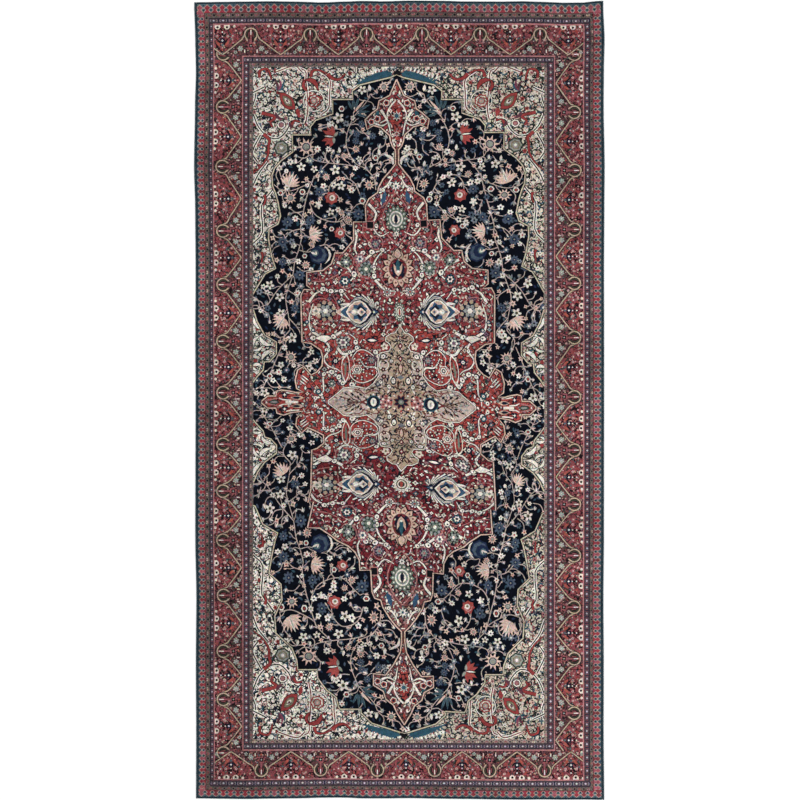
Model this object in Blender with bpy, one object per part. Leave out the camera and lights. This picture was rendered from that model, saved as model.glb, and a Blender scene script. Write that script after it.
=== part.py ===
"""Persian carpet: a hand-knotted wool carpet, lying flat.

Length runs along Y, with the head end at +Y, width along X, and the underside lies on Z = 0.
The origin is at the middle of the footprint, on the underside. The carpet itself is one thick woven
sheet. A selvedge cord, overcast with dark wool, runs down each long side, and a thinner line of
overcast stitches closes each end. The edges wander a little, as on an old hand-woven piece.
"""

import math
from collections import namedtuple

import bpy

# Driving dimensions, in metres
RUG_WIDTH = 3.05
RUG_LENGTH = 5.95
CARPET_THICKNESS = 0.008
SELVEDGE_WIDTH = 0.013
SELVEDGE_HEIGHT = 0.009
END_STITCH_WIDTH = 0.008
END_STITCH_HEIGHT = 0.007
JOIN_GAP = 0.0003

SIDE_INSET = SELVEDGE_WIDTH + JOIN_GAP
END_INSET = END_STITCH_WIDTH + JOIN_GAP
SIDE_STEPS = 72
END_STEPS = 40
CORD_FACETS = 12

# How far each edge stands outside (+) or inside (-) its straight line, in millimetres.
# A side row is at a share of the length from the foot end; an end row is at a share of the width
# from the left side. Past the first and last rows an edge runs straight on, round its corner.
SideRow = namedtuple("SideRow", "along left right")
SIDE_ROWS = (
    SideRow(along=0.005, left=-4.5, right=1.0),
    SideRow(along=0.08, left=-6.0, right=-3.0),
    SideRow(along=0.17, left=-3.5, right=-2.0),
    SideRow(along=0.25, left=-7.0, right=-4.5),
    SideRow(along=0.33, left=1.0, right=-0.5),
    SideRow(along=0.41, left=0.0, right=0.0),
    SideRow(along=0.50, left=-1.5, right=1.0),
    SideRow(along=0.58, left=0.5, right=1.0),
    SideRow(along=0.66, left=-1.5, right=0.0),
    SideRow(along=0.74, left=1.5, right=2.5),
    SideRow(along=0.79, left=10.0, right=5.0),
    SideRow(along=0.87, left=3.0, right=-2.5),
    SideRow(along=0.91, left=-4.0, right=-1.0),
    SideRow(along=0.95, left=1.0, right=4.5),
    SideRow(along=0.995, left=9.0, right=-6.0),
)

EndRow = namedtuple("EndRow", "across foot head")
END_ROWS = (
    EndRow(across=0.01, foot=-2.0, head=-6.0),
    EndRow(across=0.06, foot=0.0, head=-3.5),
    EndRow(across=0.12, foot=2.5, head=-1.0),
    EndRow(across=0.18, foot=-0.5, head=1.5),
    EndRow(across=0.25, foot=-2.5, head=-1.5),
    EndRow(across=0.31, foot=-7.5, head=-8.0),
    EndRow(across=0.36, foot=-8.5, head=-1.5),
    EndRow(across=0.41, foot=-2.0, head=4.0),
    EndRow(across=0.46, foot=-2.0, head=0.5),
    EndRow(across=0.52, foot=-4.0, head=6.5),
    EndRow(across=0.60, foot=0.0, head=5.0),
    EndRow(across=0.66, foot=2.0, head=0.0),
    EndRow(across=0.75, foot=6.0, head=-1.0),
    EndRow(across=0.80, foot=7.5, head=1.5),
    EndRow(across=0.85, foot=5.5, head=-3.5),
    EndRow(across=0.90, foot=7.5, head=-9.5),
    EndRow(across=0.95, foot=6.0, head=-8.0),
    EndRow(across=0.99, foot=8.5, head=5.0),
)

MM = 0.001


def eased_row_value(rows, place, column):
    """The value of one column at a place between two rows, eased so that the edge has no kinks."""
    place = min(max(place, rows[0][0]), rows[-1][0])
    for row, following in zip(rows, rows[1:]):
        if place <= following[0]:
            share = (place - row[0]) / (following[0] - row[0])
            share = share * share * (3.0 - 2.0 * share)
            start = getattr(row, column)
            return start + share * (getattr(following, column) - start)
    return getattr(rows[-1], column)


def left_edge(y):
    return -0.5 * RUG_WIDTH - MM * eased_row_value(SIDE_ROWS, y / RUG_LENGTH + 0.5, "left")


def right_edge(y):
    return 0.5 * RUG_WIDTH + MM * eased_row_value(SIDE_ROWS, y / RUG_LENGTH + 0.5, "right")


def foot_edge(x):
    return -0.5 * RUG_LENGTH - MM * eased_row_value(END_ROWS, x / RUG_WIDTH + 0.5, "foot")


def head_edge(x):
    return 0.5 * RUG_LENGTH + MM * eased_row_value(END_ROWS, x / RUG_WIDTH + 0.5, "head")


def side_stations(corner_x):
    """Where a side's edge is set along Y: at both ends, at the carpet's two corners, and between."""
    foot, head = foot_edge(corner_x), head_edge(corner_x)
    between = [RUG_LENGTH * (step / SIDE_STEPS - 0.5) for step in range(1, SIDE_STEPS)]
    return [foot, foot + END_INSET, *between, head - END_INSET, head]


def end_stations(corner_y):
    """Where an end's edge is set along X: at the inner side of both selvedges, and between."""
    left = left_edge(corner_y) + SIDE_INSET
    right = right_edge(corner_y) - SIDE_INSET
    between = [RUG_WIDTH * (step / END_STEPS - 0.5) for step in range(1, END_STEPS)]
    return [left, *between, right]


def footprint_middle():
    """The middle of the box round the uneven outline, which is put at the origin."""
    sides = side_stations(-0.5 * RUG_WIDTH) + side_stations(0.5 * RUG_WIDTH)
    ends = end_stations(0.0)
    lowest_x = min(left_edge(y) for y in sides)
    highest_x = max(right_edge(y) for y in sides)
    lowest_y = min(min(sides), min(foot_edge(x) for x in ends))
    highest_y = max(max(sides), max(head_edge(x) for x in ends))
    return 0.5 * (lowest_x + highest_x), 0.5 * (lowest_y + highest_y)


def clear_scene():
    for thing in list(bpy.data.objects):
        bpy.data.objects.remove(thing, do_unlink=True)


def new_collection(name):
    collection = bpy.data.collections.new(name)
    bpy.context.scene.collection.children.link(collection)
    return collection


def wool_material(name, colour, roughness):
    material = bpy.data.materials.new(name)
    material.use_nodes = True
    shader = material.node_tree.nodes["Principled BSDF"]
    shader.inputs["Base Color"].default_value = (*colour, 1.0)
    shader.inputs["Roughness"].default_value = roughness
    shader.inputs["Metallic"].default_value = 0.0
    return material


def curve_object(name, points, closed, dimensions, collection):
    curve = bpy.data.curves.new(name, "CURVE")
    curve.dimensions = dimensions
    spline = curve.splines.new("POLY")
    spline.points.add(len(points) - 1)
    for point, place in zip(spline.points, points):
        point.co = (*place, 1.0)
    spline.use_cyclic_u = closed
    thing = bpy.data.objects.new(name, curve)
    collection.objects.link(thing)
    return thing


def knotted_carpet(collection):
    """The woven and knotted sheet, inside the cords that bind its four edges."""
    right_side = [
        (right_edge(y) - SIDE_INSET, y, 0.0) for y in side_stations(0.5 * RUG_WIDTH)[1:-1]
    ]
    left_side = [
        (left_edge(y) + SIDE_INSET, y, 0.0) for y in side_stations(-0.5 * RUG_WIDTH)[1:-1]
    ]
    foot = [(x, foot_edge(x) + END_INSET, 0.0) for x in end_stations(-0.5 * RUG_LENGTH)[1:-1]]
    head = [(x, head_edge(x) - END_INSET, 0.0) for x in end_stations(0.5 * RUG_LENGTH)[1:-1]]
    outline = foot + right_side + head[::-1] + left_side[::-1]
    carpet = curve_object("knotted_carpet", outline, True, "2D", collection)
    carpet.data.fill_mode = "BOTH"
    carpet.data.extrude = 0.5 * CARPET_THICKNESS
    carpet.location.z = 0.5 * CARPET_THICKNESS
    carpet.data.materials.append(wool_material("wool_pile", (0.16, 0.07, 0.08), 0.9))


def oval_profile(name, width, height, collection):
    """The section of a wrapped cord, hidden from renders: only the cord that follows it shows.

    It runs clockwise and has a flat facet below, so that the cord lies flat on the ground.
    """
    profile = bpy.data.curves.new(name, "CURVE")
    profile.dimensions = "2D"
    ring = profile.splines.new("POLY")
    ring.points.add(CORD_FACETS - 1)
    half_facet = math.pi / CORD_FACETS
    for facet, point in enumerate(ring.points):
        turn = -half_facet * (2 * facet + 1)
        side = 0.5 * width * math.cos(turn) / math.cos(half_facet)
        rise = 0.5 * height * math.sin(turn) / math.cos(half_facet)
        point.co = (side, rise, 0.0, 1.0)
    ring.use_cyclic_u = True
    guide = bpy.data.objects.new(name, profile)
    guide.hide_render = True
    guide.display_type = "WIRE"
    collection.objects.link(guide)
    return guide


def wrapped_cord(name, route, profile, material, collection):
    cord = curve_object(name, route, False, "3D", collection)
    cord.data.twist_mode = "Z_UP"
    cord.data.bevel_mode = "OBJECT"
    cord.data.bevel_object = profile
    cord.data.use_fill_caps = True
    cord.data.materials.append(material)
    return cord


def selvedges(profile, material, collection):
    """One overcast cord down each long side, lying on the ground beside the carpet."""
    for name, edge, inward in (("selvedge_left", left_edge, 1.0), ("selvedge_right", right_edge, -1.0)):
        route = [
            (edge(y) + 0.5 * inward * SELVEDGE_WIDTH, y, 0.5 * SELVEDGE_HEIGHT)
            for y in side_stations(-0.5 * inward * RUG_WIDTH)
        ]
        wrapped_cord(name, route, profile, material, collection)


def end_stitches(profile, material, collection):
    """One line of overcast stitches across each end, between the two selvedges."""
    for name, edge, inward in (
        ("end_stitches_foot", foot_edge, 1.0),
        ("end_stitches_head", head_edge, -1.0),
    ):
        route = [
            (x, edge(x) + 0.5 * inward * END_STITCH_WIDTH, 0.5 * END_STITCH_HEIGHT)
            for x in end_stations(-0.5 * inward * RUG_LENGTH)
        ]
        wrapped_cord(name, route, profile, material, collection)


def build():
    clear_scene()
    rug = new_collection("persian_rug")
    guides = new_collection("cord_sections")
    dark_wool = wool_material("overcast_wool", (0.008, 0.022, 0.032), 0.85)
    knotted_carpet(rug)
    selvedge_oval = oval_profile("selvedge_oval", SELVEDGE_WIDTH, SELVEDGE_HEIGHT, guides)
    stitch_oval = oval_profile("stitch_oval", END_STITCH_WIDTH, END_STITCH_HEIGHT, guides)
    selvedges(selvedge_oval, dark_wool, rug)
    end_stitches(stitch_oval, dark_wool, rug)
    middle_x, middle_y = footprint_middle()
    for piece in rug.objects:
        piece.location.x -= middle_x
        piece.location.y -= middle_y


build()
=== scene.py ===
# A hand-knotted Persian carpet, about 3 by 6 m, laid flat and seen from straight above.
import math

import bpy
import numpy as np
from mathutils.geometry import delaunay_2d_cdt
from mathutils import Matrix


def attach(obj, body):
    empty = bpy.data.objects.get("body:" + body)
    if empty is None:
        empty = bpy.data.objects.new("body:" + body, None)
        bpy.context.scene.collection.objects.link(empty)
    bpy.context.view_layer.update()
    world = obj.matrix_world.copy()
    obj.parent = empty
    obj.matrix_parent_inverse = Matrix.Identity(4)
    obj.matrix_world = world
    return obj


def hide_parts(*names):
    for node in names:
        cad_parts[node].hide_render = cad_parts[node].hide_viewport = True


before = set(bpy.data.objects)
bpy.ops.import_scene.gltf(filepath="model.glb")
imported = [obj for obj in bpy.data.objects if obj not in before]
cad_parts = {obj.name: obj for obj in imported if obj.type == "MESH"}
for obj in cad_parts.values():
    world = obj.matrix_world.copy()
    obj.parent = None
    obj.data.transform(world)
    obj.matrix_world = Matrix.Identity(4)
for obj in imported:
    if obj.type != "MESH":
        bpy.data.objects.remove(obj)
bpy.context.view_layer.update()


# ---- Foundation -------------------------------------------------------------------------------
# The body of the carpet: cotton warps and wefts, woven in one piece on an upright loom, with the
# backs of the wool knots between them. The pile's colours lie over it, so it shows at the back.
FOUNDATION_TOP = 0.007
WEFT_ROWS = 60.0

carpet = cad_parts["knotted_carpet"]


def hex_colour(code):
    """A colour written as rrggbb, turned into the linear values that shaders take."""
    parts = [int(code[place:place + 2], 16) / 255 for place in (0, 2, 4)]
    return [part / 12.92 if part < 0.04 else ((part + 0.055) / 1.055) ** 2.4 for part in parts]


def opaque(code):
    """The same colour with its alpha, as a material's sockets take it."""
    return (*hex_colour(code), 1.0)


class Value:
    """A number on its way through a material: sums on it add Math nodes."""

    def __init__(self, finish, socket):
        self.finish, self.socket = finish, socket

    def sum(self, operation, first, second):
        return self.finish.node("ShaderNodeMath", {"operation": operation}, {0: first, 1: second})

    def __add__(self, other):
        return self.sum("ADD", self, other)

    def __sub__(self, other):
        return self.sum("SUBTRACT", self, other)

    def __rsub__(self, other):
        return self.sum("SUBTRACT", other, self)

    def __mul__(self, other):
        return self.sum("MULTIPLY", self, other)

    __radd__ = __add__
    __rmul__ = __mul__


class Finish:
    """A material, made node by node on one Principled shader."""

    def __init__(self, name):
        self.material = bpy.data.materials.new(name)
        self.material.use_nodes = True
        self.nodes = self.material.node_tree.nodes
        self.shader = self.nodes["Principled BSDF"]
        self.place = self.node("ShaderNodeTexCoord", output="Object")

    def node(self, kind, settings=None, sockets=None, output=0):
        made = self.nodes.new(kind)
        for name, setting in (settings or {}).items():
            setattr(made, name, setting)
        for key, value in (sockets or {}).items():
            self.feed(made.inputs[key], value)
        return Value(self, made.outputs[output])

    def feed(self, socket, value):
        if isinstance(value, Value):
            self.material.node_tree.links.new(value.socket, socket)
        else:
            socket.default_value = value

    def set(self, **looks):
        """Sets the shader's sockets, named with _ for each space."""
        for name, value in looks.items():
            self.feed(self.shader.inputs[name.replace("_", " ")], value)

    def noise(self, size, stretch=(1.0, 1.0, 1.0), detail=2.0, roughness=0.5, output="Factor"):
        """Soft random patches of about this size in metres, longer along X or Y where stretched."""
        place = self.node("ShaderNodeVectorMath", {"operation": "MULTIPLY"}, {0: self.place, 1: stretch})
        sockets = {"Vector": place, "Scale": 1.0 / size, "Detail": detail, "Roughness": roughness}
        return self.node("ShaderNodeTexNoise", {}, sockets, 0 if output == "Factor" else 1)

    def mix(self, share, first, second, blend="MIX"):
        settings = {"data_type": "RGBA", "blend_type": blend, "clamp_factor": True}
        return self.node("ShaderNodeMix", settings, {0: share, 6: first, 7: second}, 2)

    def scaled(self, colour, value):
        """A colour made lighter or darker."""
        return self.node("ShaderNodeVectorMath", {"operation": "SCALE"}, {0: colour, "Scale": value})

    def between(self, value, low, high):
        """0 below low, 1 above high, and a smooth rise between."""
        settings = {"interpolation_type": "SMOOTHSTEP"}
        return self.node("ShaderNodeMapRange", settings, {"Value": value, "From Min": low, "From Max": high})

    def bumped(self, height, distance):
        return self.node("ShaderNodeBump", {}, {"Height": height, "Distance": distance})


def knot_backs():
    """The back of the carpet: cotton weft lines between rows of knot backs, in faded reds."""
    finish = Finish("knot_backs")
    sockets = {"Vector": finish.place, "Scale": WEFT_ROWS}
    row = finish.node("ShaderNodeTexWave", {"bands_direction": "Y"}, sockets)
    patch = finish.noise(0.06, (0.6, 1.0, 1.0))
    wool = finish.mix(patch, opaque("5c3136"), opaque("2b2c40"))
    cotton = opaque("b3a58c")
    finish.set(
        Base_Color=finish.mix(finish.between(row, 0.55, 0.95), wool, cotton),
        Roughness=0.9 + 0.05 * patch,
        Normal=finish.bumped(row, 0.0006),
    )
    return finish.material


def foundation():
    """The closed slab of the carpet's outline, a little lower than the pile."""
    outline = sorted({(round(v.co.x, 5), round(v.co.y, 5)) for v in carpet.data.vertices})
    outline.sort(key=lambda place: math.atan2(place[1], place[0]))
    count = len(outline)
    points = [(x, y, 0.0) for x, y in outline] + [(x, y, FOUNDATION_TOP) for x, y in outline]
    walls = [(k, (k + 1) % count, count + (k + 1) % count, count + k) for k in range(count)]
    mesh = bpy.data.meshes.new("carpet_foundation")
    mesh.from_pydata(points, [], [list(range(count))[::-1], list(range(count, 2 * count)), *walls])
    mesh.materials.append(knot_backs())
    slab = bpy.data.objects.new("carpet_foundation", mesh)
    bpy.context.collection.objects.link(slab)
    return slab


carpet_foundation = foundation()
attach(carpet_foundation, "root")
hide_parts("knotted_carpet")


# ---- Zigzag edge ------------------------------------------------------------------------------
# The outermost stripe: red crowns on grey-teal wool, one beside the other round the whole carpet,
# knotted from a plan of squares of 7.46 mm. The edges wander, as the tension on the loom did.
SQUARE = 3.05 / 408.6
PLAN_MIDDLE = 0.0025 + 0.001j
HALF_WIDTH, HALF_LENGTH = 204.3, 398.25
EDGE = dict(left=1.78, right=1.78, head=1.1, foot=1.1)
ZIGZAG_END = dict(left=10.2, right=11.1, head=11.4, foot=8.9)
SIDES = ("left", "right", "head", "foot")
WANDER_REACH = 60.0
PILE_TOP = 0.008
SIDE_POINTS = 81

# How the areas are cut into triangles: the cells that each have a place of their own when the
# material is baked, the margin left round each, and the smallest cut.
BAKE_CELL = 0.5
BAKE_MARGIN = 0.03
INSIDE_CUTS = 1
SMALLEST_CUT = 1e-6

# Rim points further out than these, in metres, belong to a side and to an end.
SIDE_BEYOND = 1.48
END_BEYOND = 2.93

rim = np.array([corner.co[:2] for corner in carpet.data.vertices])


def rim_part(chosen, along):
    """The rim points of one edge, in their order along it."""
    part = rim[chosen]
    return part[part[:, along].argsort()]


rim_left, rim_right = rim_part(rim[:, 0] < -SIDE_BEYOND, 1), rim_part(rim[:, 0] > SIDE_BEYOND, 1)
rim_foot, rim_head = rim_part(rim[:, 1] < -END_BEYOND, 0), rim_part(rim[:, 1] > END_BEYOND, 0)


def on_carpet(places):
    """Where places on the plan lie on the carpet, in metres. Near an edge they follow its waves."""
    x = places.real * SQUARE + PLAN_MIDDLE.real
    y = places.imag * SQUARE + PLAN_MIDDLE.imag
    edge_x = np.where(x < 0, np.interp(y, *rim_left.T[::-1]), np.interp(y, *rim_right.T[::-1]))
    edge_y = np.where(y < 0, np.interp(x, *rim_foot.T), np.interp(x, *rim_head.T))
    in_side = HALF_WIDTH - EDGE["left"] - abs(places.real)
    in_end = HALF_LENGTH - EDGE["head"] - abs(places.imag)
    out_x = edge_x - np.sign(x) * (abs(x) + in_side * SQUARE)
    out_y = edge_y - np.sign(y) * (abs(y) + in_end * SQUARE)
    x = x + out_x * np.clip(1 - in_side / WANDER_REACH, 0, 1)
    y = y + out_y * np.clip(1 - in_end / WANDER_REACH, 0, 1)
    return x + 1j * y


def frame_loop(left, right, head, foot):
    """A rectangle on the plan, each side this far in from the carpet's straight outer line."""
    low = complex(left - HALF_WIDTH, foot - HALF_LENGTH)
    high = complex(HALF_WIDTH - right, HALF_LENGTH - head)
    corners = [low, complex(high.real, low.imag), high, complex(low.real, high.imag), low]
    sides = [np.linspace(a, b, SIDE_POINTS)[:-1] for a, b in zip(corners, corners[1:])]
    return np.concatenate(sides)


def smooth(route, steps=4, closed=False):
    """A flowing curve through the points of a route."""
    route = np.asarray(route, complex)
    if closed:
        route = np.concatenate([route[-1:], route, route[:2]])
    else:
        route = np.concatenate([[2 * route[0] - route[1]], route, [2 * route[-1] - route[-2]]])
    t = np.arange(steps)[:, None] / steps
    a, b, c, d = route[:-3], route[1:-2], route[2:-1], route[3:]
    bow, twist = 2 * a - 5 * b + 4 * c - d, 3 * b - 3 * c + d - a
    curve = 0.5 * (2 * b + (c - a) * t + bow * t**2 + twist * t**3)
    curve = curve.T.ravel()
    return curve if closed else np.append(curve, route[-2])


def polar(distances, turn=0.0):
    """A closed outline with its points at these distances, evenly round its middle."""
    count = len(distances)
    return np.array(distances) * np.exp(1j * (turn + 2 * math.pi * np.arange(count) / count))


DIAMOND = polar([1] * 4)
DISC = polar([1] * 8, 0.4)
ROUND = polar([1] * 16)


class Plan:
    """The plan of one area. Each outline is knotted in one dye and covers the ones before it.

    bounds are outlines that the area lies inside, hole is one that it lies outside, and turn says
    how what is drawn is laid on the plan, for instance mirrored or along a side. The grounds named
    in filled carry a filling of fine curls and dots, knotted in the three dyes of filling.
    """

    def __init__(self, dyes, ground, bounds, hole=None, filled=(), filling=None):
        self.filled, self.filling = filled, filling
        self.dyes = {name: hex_colour(code) for name, code in dyes.items()}
        self.limits = [*bounds] if hole is None else [*bounds, hole]
        self.bounds = set(range(len(bounds)))
        self.ground, self.outlines, self.shades = ground, [], []
        self.turn = None

    def fill(self, dye, outline):
        self.outlines.append(self.turn(outline) if self.turn else outline)
        self.shades.append(dye)

    def line(self, dye, route, width, end_width=None):
        """A line of this width along a route, which may thin out or swell towards its end."""
        route = np.asarray(route, complex)
        ahead = np.gradient(route)
        half = np.linspace(width, width if end_width is None else end_width, len(route)) / 2
        side = 1j * ahead / np.maximum(abs(ahead), 1e-9) * half
        self.fill(dye, np.concatenate([route - side, (route + side)[::-1]]))

    def fill_rings(self, middle, outline, rings, size=1.0):
        """One outline in smaller and smaller shares of its size, each in its own dye."""
        for share, dye in rings:
            self.fill(dye, middle + share * size * outline)


def covered(outline, places):
    """Which of these places lie inside an outline."""
    start, end = outline[:, None], np.roll(outline, -1)[:, None]
    passes = (start.imag > places.imag) != (end.imag > places.imag)
    run = np.where(passes, end.imag - start.imag, 1.0)
    crossing = start.real + (places.imag - start.imag) * (end.real - start.real) / run
    return (np.sign(run) * (passes & (places.real < crossing))).sum(0) != 0


KNOT_CELL = 0.04
CELLS_IN_ROW = 1000
TESTS_AT_ONCE = 2000000


class Knots:
    """The middles of a mesh's triangles, kept in small squares so that near ones are found fast."""

    def __init__(self, places):
        self.places = places
        cell = np.floor(places.real / KNOT_CELL) + CELLS_IN_ROW * np.floor(places.imag / KNOT_CELL)
        order = np.argsort(cell, kind="stable")
        cells, starts = np.unique(cell[order], return_index=True)
        self.held = dict(zip(cells.tolist(), np.split(order, starts[1:])))

    def within(self, outline):
        """The numbers of the triangles whose middles an outline covers."""
        low_x, high_x = np.floor(np.array([outline.real.min(), outline.real.max()]) / KNOT_CELL)
        low_y, high_y = np.floor(np.array([outline.imag.min(), outline.imag.max()]) / KNOT_CELL)
        near = [
            self.held[x + CELLS_IN_ROW * y]
            for y in range(int(low_y), int(high_y) + 1)
            for x in range(int(low_x), int(high_x) + 1)
            if x + CELLS_IN_ROW * y in self.held
        ]
        if not near:
            return np.zeros(0, int)
        near = np.concatenate(near)
        blocks = np.array_split(near, 1 + len(near) * len(outline) // TESTS_AT_ONCE)
        return np.concatenate([block[covered(outline, self.places[block])] for block in blocks])


def cell_cuts(area):
    """The lines between one cell and the next, from edge to edge of an area."""
    low_x, high_x = math.floor(area.real.min() / BAKE_CELL), math.ceil(area.real.max() / BAKE_CELL)
    low_y, high_y = math.floor(area.imag.min() / BAKE_CELL), math.ceil(area.imag.max() / BAKE_CELL)
    low, high = complex(low_x, low_y) * BAKE_CELL, complex(high_x, high_y) * BAKE_CELL
    upright = np.arange(low.real, high.real, BAKE_CELL)[1:]
    level = np.arange(low.imag, high.imag, BAKE_CELL)[1:]
    return [(complex(x, low.imag), complex(x, high.imag)) for x in upright] + [
        (complex(low.real, y), complex(high.real, y)) for y in level
    ]


def weave(name, plan):
    """The area as one flat mesh of coloured wool, cut along the edge of every outline."""
    outlines = plan.limits + plan.outlines
    points = on_carpet(np.concatenate(outlines))
    ends = np.cumsum([len(outline) for outline in outlines])
    outlines = np.split(points, ends[:-1])
    follow = np.arange(1, len(points) + 1)
    follow[ends - 1] = np.append(0, ends[:-1])
    edges = list(zip(range(len(points)), follow.tolist()))
    for cut in cell_cuts(outlines[0]):
        edges.append((len(points), len(points) + 1))
        points = np.append(points, cut)
    flat = np.column_stack([points.real, points.imag]).tolist()
    corners, _, triangles, *_ = delaunay_2d_cdt(flat, edges, [], INSIDE_CUTS, SMALLEST_CUT, False)
    corners = np.array([corner[:] for corner in corners]) @ np.array([1, 1j])
    triangles = np.array(triangles)
    knots = Knots(corners[triangles].mean(1))
    shade = np.full(len(triangles), -1)
    for number, outline in enumerate(outlines[len(plan.limits):]):
        shade[knots.within(outline)] = number
    shown = np.ones(len(triangles), bool)
    for number, outline in enumerate(outlines[:len(plan.limits)]):
        hit = np.zeros(len(triangles), bool)
        hit[knots.within(outline)] = True
        shown &= hit if number in plan.bounds else ~hit
    triangles, shade = triangles[shown], shade[shown]
    used, triangles = np.unique(triangles, return_inverse=True)
    triangles, corners = triangles.reshape(-1, 3), corners[used]
    mesh = bpy.data.meshes.new(name)
    points = np.column_stack([corners.real, corners.imag, np.full(len(corners), PILE_TOP)])
    mesh.from_pydata(points.tolist(), [], triangles.tolist())
    worn = [*plan.shades, plan.ground]
    dyes = np.array([(*plan.dyes[dye], float(dye in plan.filled)) for dye in worn])
    colours = mesh.attributes.new("dye", "FLOAT_COLOR", "FACE")
    colours.data.foreach_set("color", dyes[shade].ravel())
    lay_flat(mesh, corners[triangles])
    sheet = bpy.data.objects.new(name, mesh)
    bpy.context.collection.objects.link(sheet)
    return sheet


def lay_flat(mesh, triangles):
    """A UV map in which each 0.5 m cell of the area that holds wool has its own square."""
    middle = triangles.mean(1) / BAKE_CELL
    cell = np.floor(middle.real) + 1j * np.floor(middle.imag)
    held, slot = np.unique(cell, return_inverse=True)
    across = math.ceil(math.sqrt(len(held)))
    corner = slot % across + 1j * (slot // across)
    inside = triangles / BAKE_CELL - cell[:, None]
    places = (corner[:, None] + BAKE_MARGIN * (1 + 1j) + inside * (1 - 2 * BAKE_MARGIN)) / across
    uv_map = mesh.uv_layers.new(name="OFBake")
    uv_map.data.foreach_set("uv", np.column_stack([places.real.ravel(), places.imag.ravel()]).ravel())


def curled_filling(finish, dye, filling):
    """The fine filling of a ground: curled lines, and dots of two dyes, too small to draw singly."""
    line, dot, other_dot = (opaque(code) for code in filling)
    filled = finish.node("ShaderNodeAttribute", {"attribute_name": "dye"}, output="Alpha")
    for size, thick in ((0.055, 0.0012), (0.034, 0.0006)):
        winding = finish.noise(size, detail=1.0) - 0.5
        dye = finish.mix(filled * finish.between(winding * winding, thick, 0.3 * thick), dye, line)
    cells = {"Vector": finish.place, "Scale": 1.0 / 0.034}
    spots = finish.between(finish.node("ShaderNodeTexVoronoi", {}, cells, "Distance"), 0.33, 0.2)
    choice = finish.between(finish.node("ShaderNodeTexVoronoi", {}, cells, "Color"), 0.45, 0.55)
    return finish.mix(filled * spots, dye, finish.mix(choice, dot, other_dot))


# How much paler the pile is for each metre to the right and to the foot, and how far it is dyed down.
PALER_RIGHT, PALER_FOOT, PALER_CORNER = 0.045, 0.013, 0.02
DARKER = 1.19


def pile_wool(name, filling=None):
    """Short, worn wool pile: the dye of each knot, its speckle, the dye lots' bands, and wear.

    It is a little paler towards the right and the foot.
    """
    finish = Finish(name)
    dye = finish.node("ShaderNodeAttribute", {"attribute_name": "dye"})
    if filling:
        dye = curled_filling(finish, dye, filling)
    knots = finish.noise(0.008, detail=3.0, roughness=0.9)
    tufts = finish.noise(0.03, detail=2.0)
    lots = finish.noise(0.25, (0.25, 1.0, 1.0), detail=2.0)
    wear = finish.between(finish.noise(0.30, detail=4.0, roughness=0.65), 0.42, 0.75)
    across, along = (finish.node("ShaderNodeSeparateXYZ", {}, {0: finish.place}, axis) for axis in (0, 1))
    uneven = 2.4 * knots + 0.8 * tufts + 0.7 * lots
    light = uneven + across * (PALER_RIGHT - PALER_CORNER * along) - PALER_FOOT * along - DARKER
    hues = finish.noise(0.012, detail=1.0, output="Color")
    speckled = finish.node("ShaderNodeVectorMath", {"operation": "MULTIPLY"}, {
        0: finish.scaled(dye, light), 1: finish.mix(0.6, (1.43, 1.43, 1.43, 1.0), hues, "MULTIPLY"),
    })
    flecks = finish.between(knots, 0.55, 0.9) * (0.02 + 0.24 * wear)
    worn = finish.mix(flecks, speckled, opaque("a69a92"))
    finish.set(Base_Color=worn, Roughness=0.86 + 0.1 * knots, Normal=finish.bumped(knots, 0.001))
    finish.set(Sheen_Weight=0.02, Sheen_Roughness=0.5, Specular_IOR_Level=0.05)
    return finish.material


def finish_pile(name, plan):
    sheet = weave(name, plan)
    sheet.data.materials.append(pile_wool(name + "_wool", plan.filling))
    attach(sheet, "root")
    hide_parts("knotted_carpet")
    return sheet


def along_side(side):
    """Lays a drawing along one side: x runs along it on the plan, y inwards from its outer line."""
    if side == "left":
        return lambda drawn: drawn.imag - HALF_WIDTH + 1j * drawn.real
    if side == "right":
        return lambda drawn: HALF_WIDTH - drawn.imag + 1j * drawn.real
    if side == "head":
        return lambda drawn: drawn.real + 1j * (HALF_LENGTH - drawn.imag)
    return lambda drawn: drawn.real + 1j * (drawn.imag - HALF_LENGTH)


def stripe_ends(side, inward):
    """Where along a side a stripe that lies this far in starts and ends."""
    if side in ("left", "right"):
        return inward["foot"] - HALF_LENGTH, HALF_LENGTH - inward["head"]
    return inward["left"] - HALF_WIDTH, HALF_WIDTH - inward["right"]


def places_along(side, start, end, step):
    """Evenly spaced places along one side of a stripe that starts and ends this far in."""
    low, high = stripe_ends(side, end if side in ("left", "right") else start)
    count = round((high - low) / step)
    return low + (high - low) * (np.arange(count) + 0.5) / count


def stripe_line(plan, dye, inward, width):
    """A line of one dye round all four sides, this far in on each."""
    for side in SIDES:
        low, high = stripe_ends(side, inward)
        plan.turn = along_side(side)
        run = np.linspace(low - width / 2, high + width / 2, SIDE_POINTS)
        plan.line(dye, run + 1j * inward[side], width)


CROWN = np.array([
    -2.6 - 1j, -2.6 + 0.2j, -0.75 + 2.7j, -2.05 + 4.7j, 6.9j, 2.05 + 4.7j, 0.75 + 2.7j, 2.6 + 0.2j, 2.6 - 1j,
])
CROWN_EDGE = np.array([
    -2.7 - 1j, -2.7 + 1j, -1.2 + 2.7j, -2.6 + 4.7j, 7.6j, 2.6 + 4.7j, 1.2 + 2.7j, 2.7 + 1j, 2.7 - 1j,
])
CROWN_SIZE = 5.65 + 8.6j
CROWN_STEP = dict(left=5.65, right=5.65, head=7.35, foot=7.35)


def crown_at(place, step, outer, inner, outline):
    """A crown's outline laid at its place, as wide as its step and as high as the stripe."""
    tall = outline.imag * (inner - outer) / CROWN_SIZE.imag
    return place + outline.real * step / CROWN_SIZE.real + 1j * (inner - tall)


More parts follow.
